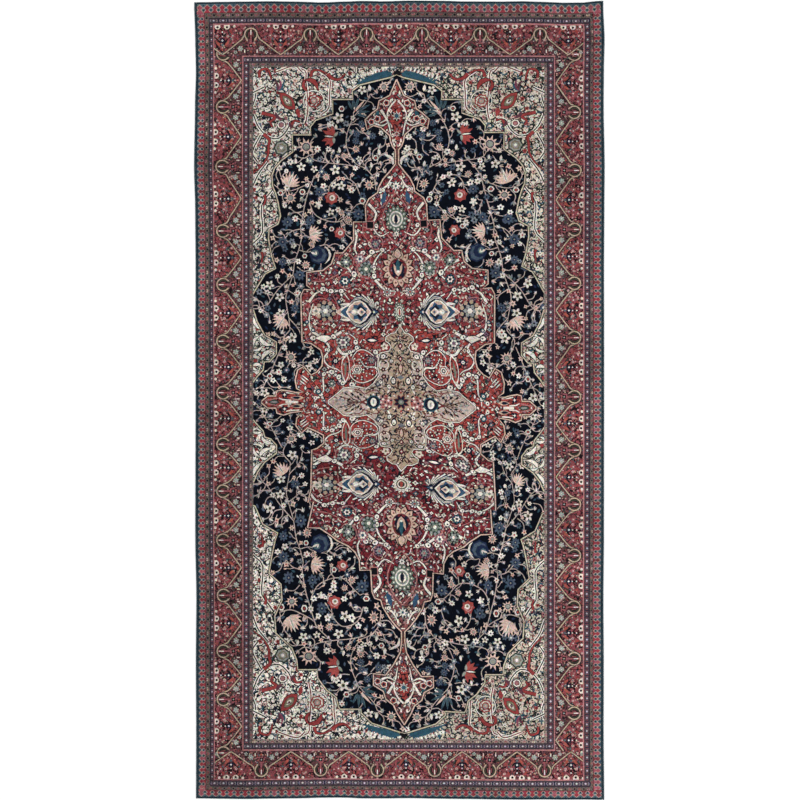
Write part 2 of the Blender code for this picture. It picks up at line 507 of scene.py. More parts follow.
zigzag = Plan(
    dict(teal="4a5c62", deep="1a2830", red="8b3741", madder="75393e", rose="93505a", pink="ae8e86",
         navy="262c46", grey="98a09a", maroon="54242e"),
    "teal", [frame_loop(**EDGE)], frame_loop(**ZIGZAG_END),
)
rng = np.random.default_rng(3)
for side in SIDES:
    zigzag.turn = along_side(side)
    outer, inner = EDGE[side], ZIGZAG_END[side]
    places = places_along(side, EDGE, ZIGZAG_END, CROWN_STEP[side])
    step = places[1] - places[0]
    for place in places:
        zigzag.fill("pink", crown_at(place, step, outer, inner, CROWN_EDGE))
        dye = rng.choice(["red", "red", "madder", "rose"])
        zigzag.fill(dye, crown_at(place, step, outer, inner, CROWN))
        between = place + step / 2 + 1j * (inner + outer) / 2
        zigzag.fill("grey", between + 0.7 * DIAMOND)
        zigzag.fill("deep", between + 2.0j + 0.9 * DIAMOND)
        zigzag.fill("navy", between - 2.7j + 0.9 * DIAMOND)
stripe_line(zigzag, "deep", {side: EDGE[side] + 0.2 for side in SIDES}, 1.4)
stripe_line(zigzag, "maroon", {side: ZIGZAG_END[side] - 0.1 for side in SIDES}, 1.0)
zigzag_edge = finish_pile("zigzag_edge", zigzag)


# ---- Guard stripes ----------------------------------------------------------------------------
# Two narrow stripes on each side of the main border, one brown with rosettes and one purple with
# white dots in brackets, and a thin pink line where they meet the border. All are wool pile.
BROWN_END = dict(left=14.4, right=14.2, head=16.3, foot=12.5)
PURPLE_END = dict(left=18.2, right=19.6, head=21.5, foot=18.6)
BORDER_START = dict(left=19.0, right=21.0, head=23.4, foot=19.8)
BORDER_END = dict(left=46.9, right=49.0, head=54.0, foot=47.8)
INNER_PINK_END = dict(left=48.0, right=50.2, head=55.6, foot=49.6)
INNER_PURPLE_END = dict(left=53.8, right=56.6, head=60.8, foot=55.0)
FIELD = dict(left=57.9, right=60.0, head=65.2, foot=59.2)
HALF_ROSETTE = np.array([
    -1.9, -1.7 + 1.2j, -0.6 + 1.9j, 0.6 + 1.9j, 1.7 + 1.2j, 1.9, 0.9, 0.5 + 0.9j, -0.5 + 0.9j, -0.9,
])
BRACKET = np.array([0.0 - 1.2j, 0.7 - 0.6j, 0.7 + 0.6j, 1.2j, 0.6 + 1.4j, 1.3 + 0.5j, 1.3 - 0.5j, 0.6 - 1.4j])
BAR = np.array([-0.6 - 1.4j, 0.6 - 1.4j, 0.6 + 1.4j, -0.6 + 1.4j])
ROSETTE_STEP = 9.2
GUARD_STEPS = dict(left=6.5, right=6.5, head=9.2, foot=8.9)
GUARD_DYES = dict(
    brown="665854", umber="473a38", purple="4f434b", plum="2e252c", pink="a97274", white="d2ccce",
    lavender="968b96", rose="84484b", black="1d1c20", green="3c463e", cream="b8a596", navy="262738",
)


def rosette_stripe(plan, start, end, step, ground=None):
    """Small half rosettes in a row, with dark dots and flecks of green between them."""
    for side in SIDES:
        plan.turn = along_side(side)
        middle, deep = (start[side] + end[side]) / 2, end[side] - start[side]
        if ground and side in ("left", "head"):
            low, high = stripe_ends(side, start)
            plan.line(ground, np.linspace(low, high, SIDE_POINTS) + 1j * middle, deep)
        for place in places_along(side, start, end, step):
            at = place + 1j * middle
            plan.fill(rng.choice(["pink", "cream", "rose", "rose"]), at - 1.2j + HALF_ROSETTE * 0.20 * deep)
            plan.fill("rose", at + 0.3j + 0.7 * DIAMOND)
            plan.fill("black", at + step / 2 - 0.3j + 0.25 * deep * DISC)
            plan.fill("green", at + step * 0.28 + 1.1j + 0.7 * DIAMOND)
            plan.fill("green", at - step * 0.28 + 1.1j + 0.7 * DIAMOND)
            plan.fill("umber", at - step * 0.3 - 1.2j + 0.8 * DIAMOND)
            plan.fill("umber", at + step * 0.25 - 1.4j + 0.7 * DIAMOND)


def dotted_stripe(plan, start, end, steps):
    """White dots between brackets on dark purple, with a bar between one dot and the next."""
    for side in SIDES:
        plan.turn = along_side(side)
        at_end = side in ("head", "foot")
        middle, deep = (start[side] + end[side]) / 2, end[side] - start[side]
        low, high = stripe_ends(side, start)
        run = np.linspace(low, high, 101) + 1j * middle
        plan.line("purple", run, deep + 0.8)
        plan.line("plum", run - 0.45j * deep, 0.9)
        plan.line("plum", run + 0.45j * deep, 0.9)
        for place in places_along(side, start, end, steps[side]):
            at = place + 1j * middle
            size = deep / 4.6
            plan.fill("navy", at + steps[side] / 2 + size * BAR)
            plan.fill("lavender", at + size * np.array([-1.3, -0.9j, 1.3, 0.9j]))
            plan.fill("white", at + 0.62 * size * DIAMOND)
            for way in (1, -1):
                out = way * (1.5 + 0.10 * steps[side] * at_end)
                plan.fill("lavender" if at_end else "rose", at + out + size * 0.8 * way * BRACKET)


outer = Plan(GUARD_DYES, "brown", [frame_loop(**ZIGZAG_END)], frame_loop(**BORDER_START))
rosette_stripe(outer, ZIGZAG_END, BROWN_END, ROSETTE_STEP)
dotted_stripe(outer, BROWN_END, PURPLE_END, GUARD_STEPS)
pink_line = {side: (PURPLE_END[side] + BORDER_START[side]) / 2 + 0.2 for side in SIDES}
stripe_line(outer, "pink", pink_line, 1.6)
outer_guards = finish_pile("outer_guard_stripes", outer)

inner = Plan(
    dict(GUARD_DYES, brown="8e7e78", dim="70625f", umber="5a4a48", cream="cbb9a4", black="3a3236"), "brown",
    [frame_loop(**BORDER_END)], frame_loop(**FIELD),
)
rosette_stripe(inner, INNER_PURPLE_END, FIELD, ROSETTE_STEP, "dim")
dotted_stripe(inner, INNER_PINK_END, INNER_PURPLE_END, GUARD_STEPS)
pink_line = {side: (BORDER_END[side] + INNER_PINK_END[side]) / 2 - 0.2 for side in SIDES}
stripe_line(inner, "pink", pink_line, 1.5)
inner_guards = finish_pile("inner_guard_stripes", inner)


# ---- Main border ------------------------------------------------------------------------------
# A gold vine runs round on madder wool. It rounds a ring and then meets the next stretch in a
# point, so that bright red places at the outer line take turns with plum ones at the inner line.
# Each place holds its own small flowers. The weaver's spacing is uneven, so it is given one by one.
RINGS = dict(
    left=[346, 293, 233.4, 169, 115.4, 58.7, 7.4, -44.2, -91, -140.1, -195.2, -251, -299.2, -352.6],
    right=[345.7, 287.6, 229.5, 170.5, 116.7, 62.4, 3.2, -50.1, -104.2, -155.4, -207, -258.5, -313, -367],
    head=[-205.5, -148.7, -89.4, -33.1, 22.3, 80.3, 140.3, 196.3],
    foot=[-199.5, -138.3, -79.1, -22.3, 34.9, 89.8, 144.8, 197.8],
)
RING_DEPTH = 8.7
BORDER_DEPTH = 28.0
FLECK_ROOM = 7
SHORT_BAR = np.array([-0.5 - 1.5j, 0.5 - 1.5j, 0.5 + 1.5j, -0.5 + 1.5j])
LEAF = np.array([0, 0.3 - 0.45j, 0.65 - 0.4j, 1, 0.65 + 0.4j, 0.3 + 0.45j])


def blossom(plan, place, size, petal, eye, count=5, turn=0.0):
    plan.fill(petal, place + size * polar([1, 1, 0.62] * count, turn))
    plan.fill(eye, place + 0.38 * size * DIAMOND)


def leaf(plan, dye, root, tip, width):
    along = tip - root
    plan.fill(dye, root + along * LEAF.real + 1j * along / abs(along) * width * LEAF.imag)


def flecks(plan, places, size, dyes):
    """Single coloured knots strewn over the ground."""
    for place in places:
        plan.fill(rng.choice(dyes), place + size * rng.uniform(0.7, 1.3) * DIAMOND)


def vine_arm(reach):
    """One stretch of the vine, from the flank of a ring to the point this far along."""
    return smooth([
        6.6 + 7.6j, 8.4 + 12.6j, 0.45 * reach + 15.9j, 0.6 * reach + 19.2j, 0.75 * reach + 22.2j,
        0.88 * reach + 24.9j, reach + 27j,
    ], 3)


def outer_place(plan, tip, lay):
    """The flowers of a red place, round the point of the vine at tip."""
    def at(x, y):
        return lay(tip + x + 1j * y)

    plan.line("black", [at(0, 4), at(0, 22)], 0.7)
    for way in (1, -1):
        plan.fill("cream", at(4.7 * way, 1.3) + 3.1 * DISC)
        plan.fill("black", at(4.7 * way, 2.0) + 1.25 * DISC)
        leaf(plan, "coral", at(2.4 * way, 19.5), at(6.5 * way, 14.5), 2.6)
        leaf(plan, "black", at(1.6 * way, 17), at(6.0 * way, 12), 1.7)
        leaf(plan, "black", at(1.2 * way, 10), at(4.6 * way, 7), 1.5)
        leaf(plan, "bright", at(7.5 * way, 3.5), at(9.5 * way, 8.5), 2.2)
        leaf(plan, "green", at(9.5 * way, 13.5), at(6.5 * way, 17.5), 1.6)
        blossom(plan, at(10.4 * way, 9.8), 2.5, "rose", "black")
        plan.fill("cream", at(10.4 * way, 9.8) + 0.8 * DIAMOND)
        blossom(plan, at(5.4 * way, 10.2), 1.5, "pink", "teal")
        plan.fill("teal", at(8.2 * way, 12.4) + 1.2 * DIAMOND)
        plan.fill("cream", at(12 * way, 1.2) + 1.4 * DISC)
        plan.fill("green", at(9.6 * way, 1.4) + 1.1 * DIAMOND)
        plan.fill("pink", at(13.5 * way, 5.2) + 1.1 * DIAMOND)
    plan.fill("white", at(0, 6.4) + 0.9 * DIAMOND)
    plan.fill("black", at(0, 8.4) + 1.5 * DIAMOND)
    plan.fill("white", at(0, 10.6) + 0.8 * DIAMOND)
    blossom(plan, at(0, 14.2), 3.0, "navy", "white", 4, 0.5)
    plan.fill("teal", at(0, 18.2) + 1.5 * DIAMOND)
    plan.fill("pink", at(0, 20.8) + 1.0 * DIAMOND)
    plan.fill("coral", at(0, 23.0) + 1.0 * DIAMOND)


def inner_place(plan, ring, lay):
    """The ring and the flowers of a plum place."""
    def at(x, y):
        return lay(ring + x + 1j * y)

    middle = at(0, RING_DEPTH)
    tall = (at(0, 1) - at(0, 0)) / 1j
    plan.fill("black", middle + 7.5 * ROUND)
    plan.fill("gold", middle + 6.9 * ROUND)
    plan.fill("dark", middle + 5.6 * polar([1] * 14))
    plan.fill("plum", np.array([at(-3.2, 12.8), at(3.2, 12.8), at(3.6, 17), at(-3.6, 17)]))
    for way in (1, -1):
        leaf(plan, "gold", at(5.6 * way, 11.5), at(3.0 * way, 15.2), 1.6)
        rib = [at(1.6 * way, 4.2), at(3.9 * way, 6.6), at(4.0 * way, 10.2), at(2.4 * way, 12.4)]
        plan.line("green", smooth(rib, 2), 1.1)
        plan.line("rose", [at(1.7 * way, 6.5), at(2.3 * way, 11)], 0.7)
        leaf(plan, "black", at(1.5 * way, 22), at(5.5 * way, 18.6), 1.6)
        plan.fill("cream", at(6.2 * way, 24) + SHORT_BAR * tall)
        blossom(plan, at(10.6 * way, 21.6), 2.9, "sage", "black", 6)
        plan.fill("white", at(10.6 * way, 21.6) + 0.7 * DIAMOND)
        plan.fill("green", at(7.4 * way, 18.2) + 1.4 * DIAMOND)
        blossom(plan, at(15.4 * way, 24.9), 1.9, "sage", "plum")
        plan.fill("rose", at(3.6 * way, 21.4) + 1.0 * DIAMOND)
        plan.fill("pink", at(19.5 * way, 26.2) + 0.9 * DIAMOND)
    plan.line("rose", [at(0, 3.4), at(0, 17)], 1.8)
    plan.line("white", [at(0, 4.6), at(0, 9.2)], 0.9)
    blossom(plan, at(0, 19), 3.9, "rose", "black", 6)
    blossom(plan, at(0, 19), 2.4, "black", "sage", 4, 0.4)
    plan.fill("coral", at(0, 24.4) + 1.2 * DIAMOND)


border = Plan(
    dict(
        plum="5f3d41", madder="84454a", bright="90403f", coral="a05348", rose="8e5357", pink="c09894",
        gold="b5a08b", cream="dccdc0", white="e2ddd8", black="171418", dark="2c171b", green="3a3d34",
        teal="4e5f64", navy="1c1e2e", sage="a0a49b",
    ),
    "plum", [frame_loop(**BORDER_START)], frame_loop(**BORDER_END),
    ("plum", "madder"), ("1e1418", "b08e89", "3b3839"),
)
rng = np.random.default_rng(11)
for side in SIDES:
    border.turn = along_side(side)
    depth = (BORDER_END[side] - BORDER_START[side]) / BORDER_DEPTH

    def lay(place):
        return place.real + 1j * (BORDER_START[side] + place.imag * depth)

    rings = sorted(RINGS[side])
    if side in ("head", "foot"):
        low, high = (rings[0] + rings[1]) / 2, (rings[-2] + rings[-1]) / 2
        border.fill("plum", lay(np.array([low, high, high + 1j * BORDER_DEPTH, low + 1j * BORDER_DEPTH])))
    for low, high in zip(rings, rings[1:]):
        tip = (low + high) / 2
        arm = vine_arm((high - low) / 2)
        vine = np.concatenate([low + arm, high - np.conj(arm)[::-1][1:]])
        border.fill("madder", lay(np.concatenate([vine, [high - 5 - 1j, low + 5 - 1j]])))
    length = rings[-1] - rings[0]
    shares = rng.uniform(0, 1, (int(length * BORDER_DEPTH / FLECK_ROOM), 2))
    flecks(
        border, lay(shares @ np.array([length, 1j * BORDER_DEPTH]) + rings[0]), 0.75,
        ["black", "pink", "teal", "gold", "rose", "coral", "green", "dark", "bright"],
    )
    for low, high in zip(rings, rings[1:]):
        arm = vine_arm((high - low) / 2)
        for vine in (low + arm, high - np.conj(arm)):
            border.line("black", lay(vine), 2.1)
            border.line("gold", lay(vine), 1.2)
        outer_place(border, (low + high) / 2, lay)
    for ring in rings:
        inner_place(border, ring, lay)
main_border = finish_pile("main_border", border)


# ---- Cream field ------------------------------------------------------------------------------
# The cream corners of the field and two cream half-rounds on each long side. Dark twigs, red split
# leaves and scrolls fill them, knotted from one quarter of the drawing that is turned over.
NAVY_UPPER = [
    327.5j, 6+324.5j, 37+317j, 45+311j, 44.5+302.5j, 65+302.5j, 65+288j, 82.5+281.5j, 88+274.5j, 87+267j,
    106+267j, 105.5+250j, 117.5+241j, 124+233.5j, 126.5+226.5j, 126+216j, 123+209j, 120.5+200j, 118+186j,
    120.5+178j, 129.5+173j, 130+163j, 127+146j, 123+133.5j, 133.5+128j, 139.5+118j, 145.5+108j, 152+108j,
    152+92j, 145+92j, 141.5+80.5j, 134+67j, 122.5+60j, 122.5+48j, 129+40.5j, 134.5+40j, 135.5+32j,
    141+26j, 146+19j, 152+19j,
]
NAVY_LOWER = [
    331.5j, 32+321j, 42+311j, 42+307j, 62+307j, 63.5+305j, 66+295j, 75+288j, 83.5+276j, 84+267.5j,
    102.5+267.5j, 103.5+258j, 108+246j, 123.5+231j, 124.5+214j, 117.5+198j, 118.5+182j, 130+171j,
    127.5+155j, 124+138j, 121.5+131j, 136+122j, 143.5+104j, 152+101j, 152+82j, 145+80j, 141+70j, 134+60j,
    122.5+51j, 122.5+43j, 128+37j, 134+35j, 135.5+29j, 141+23j, 146+17j, 152+17j,
]

# Heights in the drawing of the upper half, and what each comes to in the shorter lower half.
FIELD_HEIGHTS = np.array([
    [-20, 0, 19, 48, 60, 81, 92, 107, 133, 147, 169, 190, 205, 224, 256, 400],
    [-17, 0, 16, 39, 49, 69, 80, 94, 126, 142, 163, 187, 200, 224, 255, 400],
])
# How far the right half has sagged, and how far the axis and the right half lean, at each height.
SAG_HEIGHTS = [-330, -312, -270, -200, -140, -110, -80, -47, -37, 0, 40, 90, 120, 180, 230, 260, 300]
SAGS = [0, 3, 5, 5, 6, 7.5, 9, 12, 10, 6, 1.5, 0, -2, -3, -3, -3, 0]
LEAN_HEIGHTS = [
    -230, -130, -105, -90, -60, -45, -13, 0, 12, 30, 50, 80, 130, 150, 170, 199, 214, 237, 285, 330,
]
AXIS_LEANS = [-1, -1.4, -1.3, -1, -0.5, -0.2, 0, 0, 0, 0, 0, 0, -1.1, -1.6, -2.5, -2.9, -2.5, -0.8, -0.5, 0]
RIGHT_LEANS = [0, -1, 2.5, 6, 7, 5, 2.5, 4.5, 2.5, 1, -2, -2.8, -3, -1, -3, -5.3, -4, 0, -1, 0]

# The axis crosses the middle here and slants this much. The drawing is 145.3 squares to each side
# of it, and the carpet's halves are these. The drawing's middle lies a little low on the plan.
AXIS_MIDDLE, AXIS_SLANT = 1.3, 0.0135
DRAWN_HALF, LEFT_HALF, RIGHT_HALF = 145.3, 146.4, 144.3
MIDDLE_DROP = 2.0


def in_field(drawn):
    """Places drawn from the field's middle, on its slanting axis and unequal halves.

    The weaver let the right half sag towards the foot, most of all a little below the middle,
    and let the middle and the right half lean to one side here and to the other there.
    """
    axis = AXIS_MIDDLE - AXIS_SLANT * drawn.imag
    half = np.where(drawn.real < 0, axis + LEFT_HALF, RIGHT_HALF - axis)
    sag = np.interp(drawn.imag, SAG_HEIGHTS, SAGS) * np.clip(drawn.real / 60, 0, 1)
    near_axis = np.interp(drawn.real, [-25, 0, 35], [0, 1, 0])
    on_right = np.interp(drawn.real, [0, 35, 92, 122], [0, 1, 1, 0])
    lean = np.interp(drawn.imag, LEAN_HEIGHTS, AXIS_LEANS) * near_axis
    lean += np.interp(drawn.imag, LEAN_HEIGHTS, RIGHT_LEANS) * on_right
    return axis + lean + drawn.real * half / DRAWN_HALF + 1j * (drawn.imag - MIDDLE_DROP - sag)


def quarter(across, along, heights=FIELD_HEIGHTS):
    """Lays a drawing in one quarter of the field: across is -1 on the left, along -1 at the foot.

    The drawing is that of the upper half. The lower half is shorter: heights says what height in
    it each height of the upper half comes to.
    """
    def lay(drawn):
        high = np.imag(drawn)
        if along < 0:
            high = -np.interp(high, *heights)
        return in_field(across * np.real(drawn) + 1j * high)
    return lay


def raised(outline, heights=FIELD_HEIGHTS):
    """An outline of the lower half, at the heights that it has in the drawing."""
    return np.real(outline) + 1j * np.interp(np.imag(outline), *heights[::-1])


def four_quarters(upper, lower):
    """The outline whose right half is given above and below the middle."""
    right = np.concatenate([upper, np.conj(lower)[::-1]])
    return in_field(np.concatenate([right, -np.conj(right)[::-1]]))


def strewn(area, gap, taken=()):
    """Places at about this gap inside an outline, clear of the circles already taken."""
    columns = np.arange(area.real.min(), area.real.max(), gap)
    rows = np.arange(area.imag.min(), area.imag.max(), gap * 0.87)
    across, along = np.meshgrid(columns, rows)
    across[::2] += gap / 2
    places = (across + 1j * along).ravel()
    places = places + gap * rng.uniform(-0.32, 0.32, (len(places), 2)) @ np.array([1, 1j])
    places = places[covered(area, places)]
    for middle, reach in taken:
        places = places[abs(places - middle) > reach]
    return places


def bent_leaf(plan, dye, root, tip, width, bend, edge=None):
    """A leaf that bends to one side, with a rim of another dye where one is named."""
    t = np.linspace(0, 1, 5)
    spine = root + (tip - root) * (t + 1j * bend * 4 * t * (1 - t))
    half = width / 2 * np.array([0.15, 0.85, 1, 0.75, 0.05])
    ahead = np.gradient(spine)
    side = 1j * ahead / abs(ahead)
    if edge:
        rim = side * (half + 0.7)
        plan.fill(edge, np.concatenate([spine - rim, (spine + rim)[::-1]]))
    plan.fill(dye, np.concatenate([spine - side * half, (spine + side * half)[::-1]]))


def split_leaf(plan, dye, root, tip, width, bend, edge=None):
    """A leaf of two unequal lobes that part near the root and curl away from each other."""
    along = tip - root
    bent_leaf(plan, dye, root, root + along * (0.55 - 0.45j * np.sign(bend)), 0.7 * width, -bend, edge)
    bent_leaf(plan, dye, root, tip, width, bend, edge)


def twig(plan, place, size, dye, tip_dye):
    """A fine curled twig with two small leaves."""
    heading = size * np.exp(1j * rng.uniform(0, 2 * math.pi))
    bend = rng.choice([-0.35, 0.35])
    route = place + heading * np.array([-1, -0.3 + 1j * bend, 0.35 + 0.6j * bend, 0.9 - 0.5j * bend])
    plan.line(dye, route, 1.5, 1.0)
    leaf(plan, tip_dye, route[1], route[1] + heading * (0.55 + 0.7j * np.sign(bend)), 0.36 * size)
    leaf(plan, tip_dye, route[2], route[2] + heading * (0.45 - 0.75j * np.sign(bend)), 0.36 * size)


def ring(plan, dye, place, size, width):
    """A round line that leaves what lies inside it as it is."""
    plan.line(dye, place + size * polar([1] * 15, 0.1)[list(range(15)) + [0]], width)


def rimmed(plan, dyes, outline, widths):
    """The edge of an area, drawn as lines of several dyes, one on the other."""
    for dye, width in zip(dyes, widths):
        plan.line(dye, np.append(outline, outline[0]), width)


navy_upper, navy_lower = np.array(NAVY_UPPER), np.array(NAVY_LOWER)
navy_outline = four_quarters(navy_upper, navy_lower)
field_edge = frame_loop(**FIELD)
CREAM_KEPT = [(111+300j, 9), (84+301j, 7), (117+254j, 7), (117+277j, 4)]
SCROLLS = [
    [108+335j, 93+331.5j, 92+321j, 91+313j, 90+294j, 92+281j],
    [81+333j, 68+323j, 68+310j, 69+294j, 76+287.5j],
    [145+287j, 140+275j, 131+265.5j, 120+263.5j, 111+272j, 107+281j, 98+279j],
    [146+316j, 143+306j, 146+296j], [122+330j, 104+336j, 96+330j], [134+315j, 146+309j],
    [138+267j, 146+250j, 141+240j], [131+240j, 140+228j, 146+215j],
    [126+212j, 137+196j, 136+170j, 146+158j],
]

cream = Plan(
    dict(
        cream="dad3c7", bone="f2eadd", fawn="d4c8b7", straw="c9bdad", light="e9e3d8", edge="c6baa4",
        black="15171a", green="2c3833", olive="7b715e", navy="202434", red="8e3c3c", rose="9c696a",
        teal="2f5262", plum="583640", peach="c6a294", grey="8f8f88", magenta="80465a", maroon="6c3234",
    ),
    "cream", [field_edge], navy_outline, ("cream", "bone", "fawn", "straw"), ("161d1d", "8c5c5a", "d2c8b8"),
)
rng = np.random.default_rng(21)
for along, outline in ((1, navy_upper), (-1, navy_lower)):
    corner = np.array([152 + 345j, 345j, *(outline if along == 1 else raised(outline))])
    for across in (1, -1):
        cream.turn = quarter(across, along)
        cream.fill(
            {(1, 1): "fawn", (-1, 1): "cream", (1, -1): "straw", (-1, -1): "bone"}[across, along], corner,
        )
        for place in strewn(corner, 5.5, CREAM_KEPT):
            dye = rng.choice(["black", "green", "navy", "black", "green", "teal"])
            twig(
                cream, place, rng.uniform(2.6, 3.6), dye,
                rng.choice(["black", "green", "red", "rose", "navy", "teal", dye]),
            )
        for place in strewn(corner, 10.5, CREAM_KEPT):
            blossom(
                cream, place, rng.uniform(1.6, 2.6), rng.choice(["red", "rose", "peach", "light", "navy"]),
                "black",
            )
        ring(cream, "green", 84+301j, 10.5, 1.9)
        ring(cream, "light", 84+301j, 10.5, 0.9)
        for route in SCROLLS:
            red_vine = route[0].real < 110 or route[0].imag > 325
            cream.line("light", smooth(route, 3), 3.0)
            cream.line("maroon" if red_vine else "black", smooth(route, 3), 1.2)
        for middle, dyes, size in (
            (84+301j, ("red", "cream", "red", "grey", "peach"), 7.4),
            (117+277j, ("green", "light", "plum", "rose"), 5.2),
            (117+254j, ("green", "grey", "olive", "grey", "light"), 8.2),
        ):
            cream.fill_rings(middle, polar([1, 0.86] * 7), zip((1.0, 0.8, 0.58, 0.4, 0.2), dyes), size)
        for share, dye in (
            (1.0, "black"), (0.92, "red"), (0.68, "green"), (0.62, "olive"), (0.36, "cream"), (0.18, "plum"),
        ):
            heart = share * polar(
                [12.5, 9.5, 7.5, 6.5, 6.2, 8, 12.5, 8.5, 6.2, 6, 6.5, 8.5], math.atan2(-19, -18),
            )
            cream.fill(dye, 111 + 301j + heart * (0.86 if share < 0.7 else 1.0))
        leaf(cream, "red", 101+294j, 99+284j, 5)
        for place, dye in (
            (122+314j, "teal"), (117+317j, "teal"), (119.5+319j, "magenta"), (123+318j, "plum"),
        ):
            bent_leaf(cream, dye, 121+311j, place + (place - 121 - 311j) * 0.5, 2.6, 0.2)
        for route, width, end_width in (
            ([139+324j, 138.5+331j, 131+333j, 128+327j, 127+322j], 2.4, 1.2),
            ([70+328j, 65+323.5j, 58+322.5j, 52+328j], 3.6, 1.2),
            ([87+325j, 85+331j, 78+331.5j, 70+328j], 3.0, 0.9),
            ([137+289j, 123+285j, 128+280j, 126+275j], 3.4, 1.4),
            ([135+268j, 129+262j, 130+256j, 130.5+247j, 136+237j, 145+229j], 3.2, 0.7),
            ([134+207j, 133+202j, 135+196j], 2.6, 1.0),
            ([137+150j, 136+146j, 137+139j], 2.8, 0.9), ([107+276j, 104+281j, 98+280j], 3.0, 0.9),
        ):
            cream.line("black", smooth(route, 3), width + 1.0, end_width + 0.8)
            cream.line("red", smooth(route, 3), width, end_width)
        split_leaf(cream, "red", 93+322j, 79.7+312j, 4.5, -0.25, "black")
        bent_leaf(cream, "plum", 123+290j, 116+283j, 3.6, 0.2)
        bent_leaf(cream, "plum", 109+280j, 104+274j, 3.2, 0.2)
        lift = 0 if along == 1 else 5j
        for root in np.linspace(8+329j, 37+320j, 9) + lift:
            leaf(cream, "teal", root, root + 3.2 + 3.6j, 2.4)
            leaf(cream, "light", root + 1.6 + 2.5j, root + 3.8 + 7.5j, 2.0)
        cream.fill(
            "teal", lift + np.array([4+329j, 12+331j, 22+328.4j, 33+323j, 43+316.5j, 22+321.5j, 6+325.5j]),
        )
        for place in (136+60.5j, 136+48.5j, 143+41j, 145+27j):
            cream.fill("red", place + 2.4 * polar([1, 0.8] * 5))
        for root, tip, width, bend in (
            (146+86j, 137+72j, 3.6, 0.1), (139+66j, 127+57j, 4, 0.2), (126+51j, 137+42j, 4, 0.2),
            (146+52j, 139+66j, 3.4, -0.2), (146+36j, 137+36j, 3, -0.2),
        ):
            split_leaf(cream, "light", root, tip, width, bend, "green")
cream.turn = None
rimmed(cream, ("green", "edge"), navy_outline, (2.8, 1.2))
for place in (-2.4+326.5j, 4-334j):
    cream.fill("black", place + 4.5 * np.array([-1, -1j, 1, 1j]))
cream_field = finish_pile("cream_field", cream)


# ---- Navy field -------------------------------------------------------------------------------
# The dark blue field between the cream corners and the medallion: pale stems branch over it and
# carry peach, cream, red and blue-grey flowers. The drawing is one quarter, turned over.
MEDALLION_UPPER = [
    322.5j, 7+306.5j, 18+301j, 19.5+293j, 24.5+289.5j, 32.5+282j, 30.5+272.5j, 24+276.5j, 16.5+274.5j,
    7.5+266.5j, 6.5+260.5j, 4.5+255.5j, 1.6+252j, 1.6+238j, 6+232j, 14+223j, 19+214.5j, 20+209.5j,
    29.5+203j, 33+196j, 32.5+180j, 45+180j, 45+162j, 52.5+153j, 56+149j, 64+149j, 65+145j, 67.5+138j,
    76+131.5j, 92+129.5j, 92+116.5j, 86.5+112j, 95+112.5j, 98+106.5j, 97+60j, 88+58.5j, 78.5+52j,
    76.5+44j, 77.5+36j, 82.5+30j, 88.5+27j, 95.5+35.5j, 101.5+32j, 104+22j, 102.5+13.5j, 96+10j,
    103.5+9.5j, 110+11j, 117.5+12j, 122+11j, 123+6j, 131+6j, 137+1j,
]
MEDALLION_LOWER = [
    322.5j, 7+311j, 10.5+303j, 18+297j, 20.5+289j, 30+283j, 30+271.5j, 18+273j, 10+262.5j, 3+250j,
    1.6+239.5j, 1.6+229.5j, 7+224j, 13.5+215.5j, 20+205j, 22+198j, 28+196j, 30.5+189.5j, 31.5+168j,
    42+168j, 42.5+158j, 46.5+150j, 53+144j, 64+138.5j, 69+134j, 80.5+126j, 92.5+125.5j, 86.5+99.5j,
    92+100.5j, 89+87j, 88+48j, 83+46.5j, 76+41j, 76.5+33j, 85+28.5j, 92+25.5j, 98+31j, 103.5+23.5j,
    102.5+16j, 96+9j, 108+10.5j, 115.5+13j, 122+11j, 123+6j, 131+6j, 137+1j,
]
medallion_upper, medallion_lower = np.array(MEDALLION_UPPER), np.array(MEDALLION_LOWER)
medallion_outline = four_quarters(medallion_upper, medallion_lower)
SUNFLOWERS = [
    (13+315j, 5.5), (92+255j, 8.5), (54+246j, 3.5), (29+217j, 5), (42+253j, 4), (72+225j, 4),
    (108+204j, 6), (93+137j, 4.5), (50+182j, 4), (57+189j, 3.5), (87+158j, 3.5), (108+45j, 6),
]
STARS = [
    (35+312j, 4.5), (59+284j, 5.5), (84+233j, 3.5), (63+232j, 5), (57+216j, 4.5), (39+243j, 3),
    (97+235j, 4.5), (129+117j, 4.5), (119+105j, 4.5), (118+89j, 4.5), (107+64j, 5), (88+50j, 3.2),
    (84+41j, 3.2), (80+197j, 4), (68+190j, 4), (134+9j, 4.5), (90+34j, 4),
]
RINGLETS = [
    (22+244j, 3.2), (118+209j, 3), (36+201j, 3.5), (67+173j, 2.6), (94+146j, 2.6), (129+26j, 3),
    (96+210j, 3.2), (56+293j, 3.2),
]
BLUE_FLOWERS = [
    (42+261j, 3.4), (41+268j, 3.4), (25+266j, 3.4), (88+182j, 4.5), (111+180j, 5), (116+160j, 5),
    (99+127j, 5), (40+188j, 5.5), (79+210j, 4.5), (36+278j, 3.4), (116+140j, 4), (104+94j, 4),
]
BUDS = [
    (28+314j, 3.5), (19+250j, 3.5), (59+252j, 3), (103+241j, 3), (27+237j, 3), (80+198j, 3.4),
    (91+242j, 2.5), (70+277j, 3), (62+275j, 2.6),
]
FANS = [(110+216j, 105+229j, 12), (89+167j, 74+170j, 11), (115+84j, 123+72j, 11)]
RED_FLOWERS = [(67+204j, 7), (59+169j, 6)]
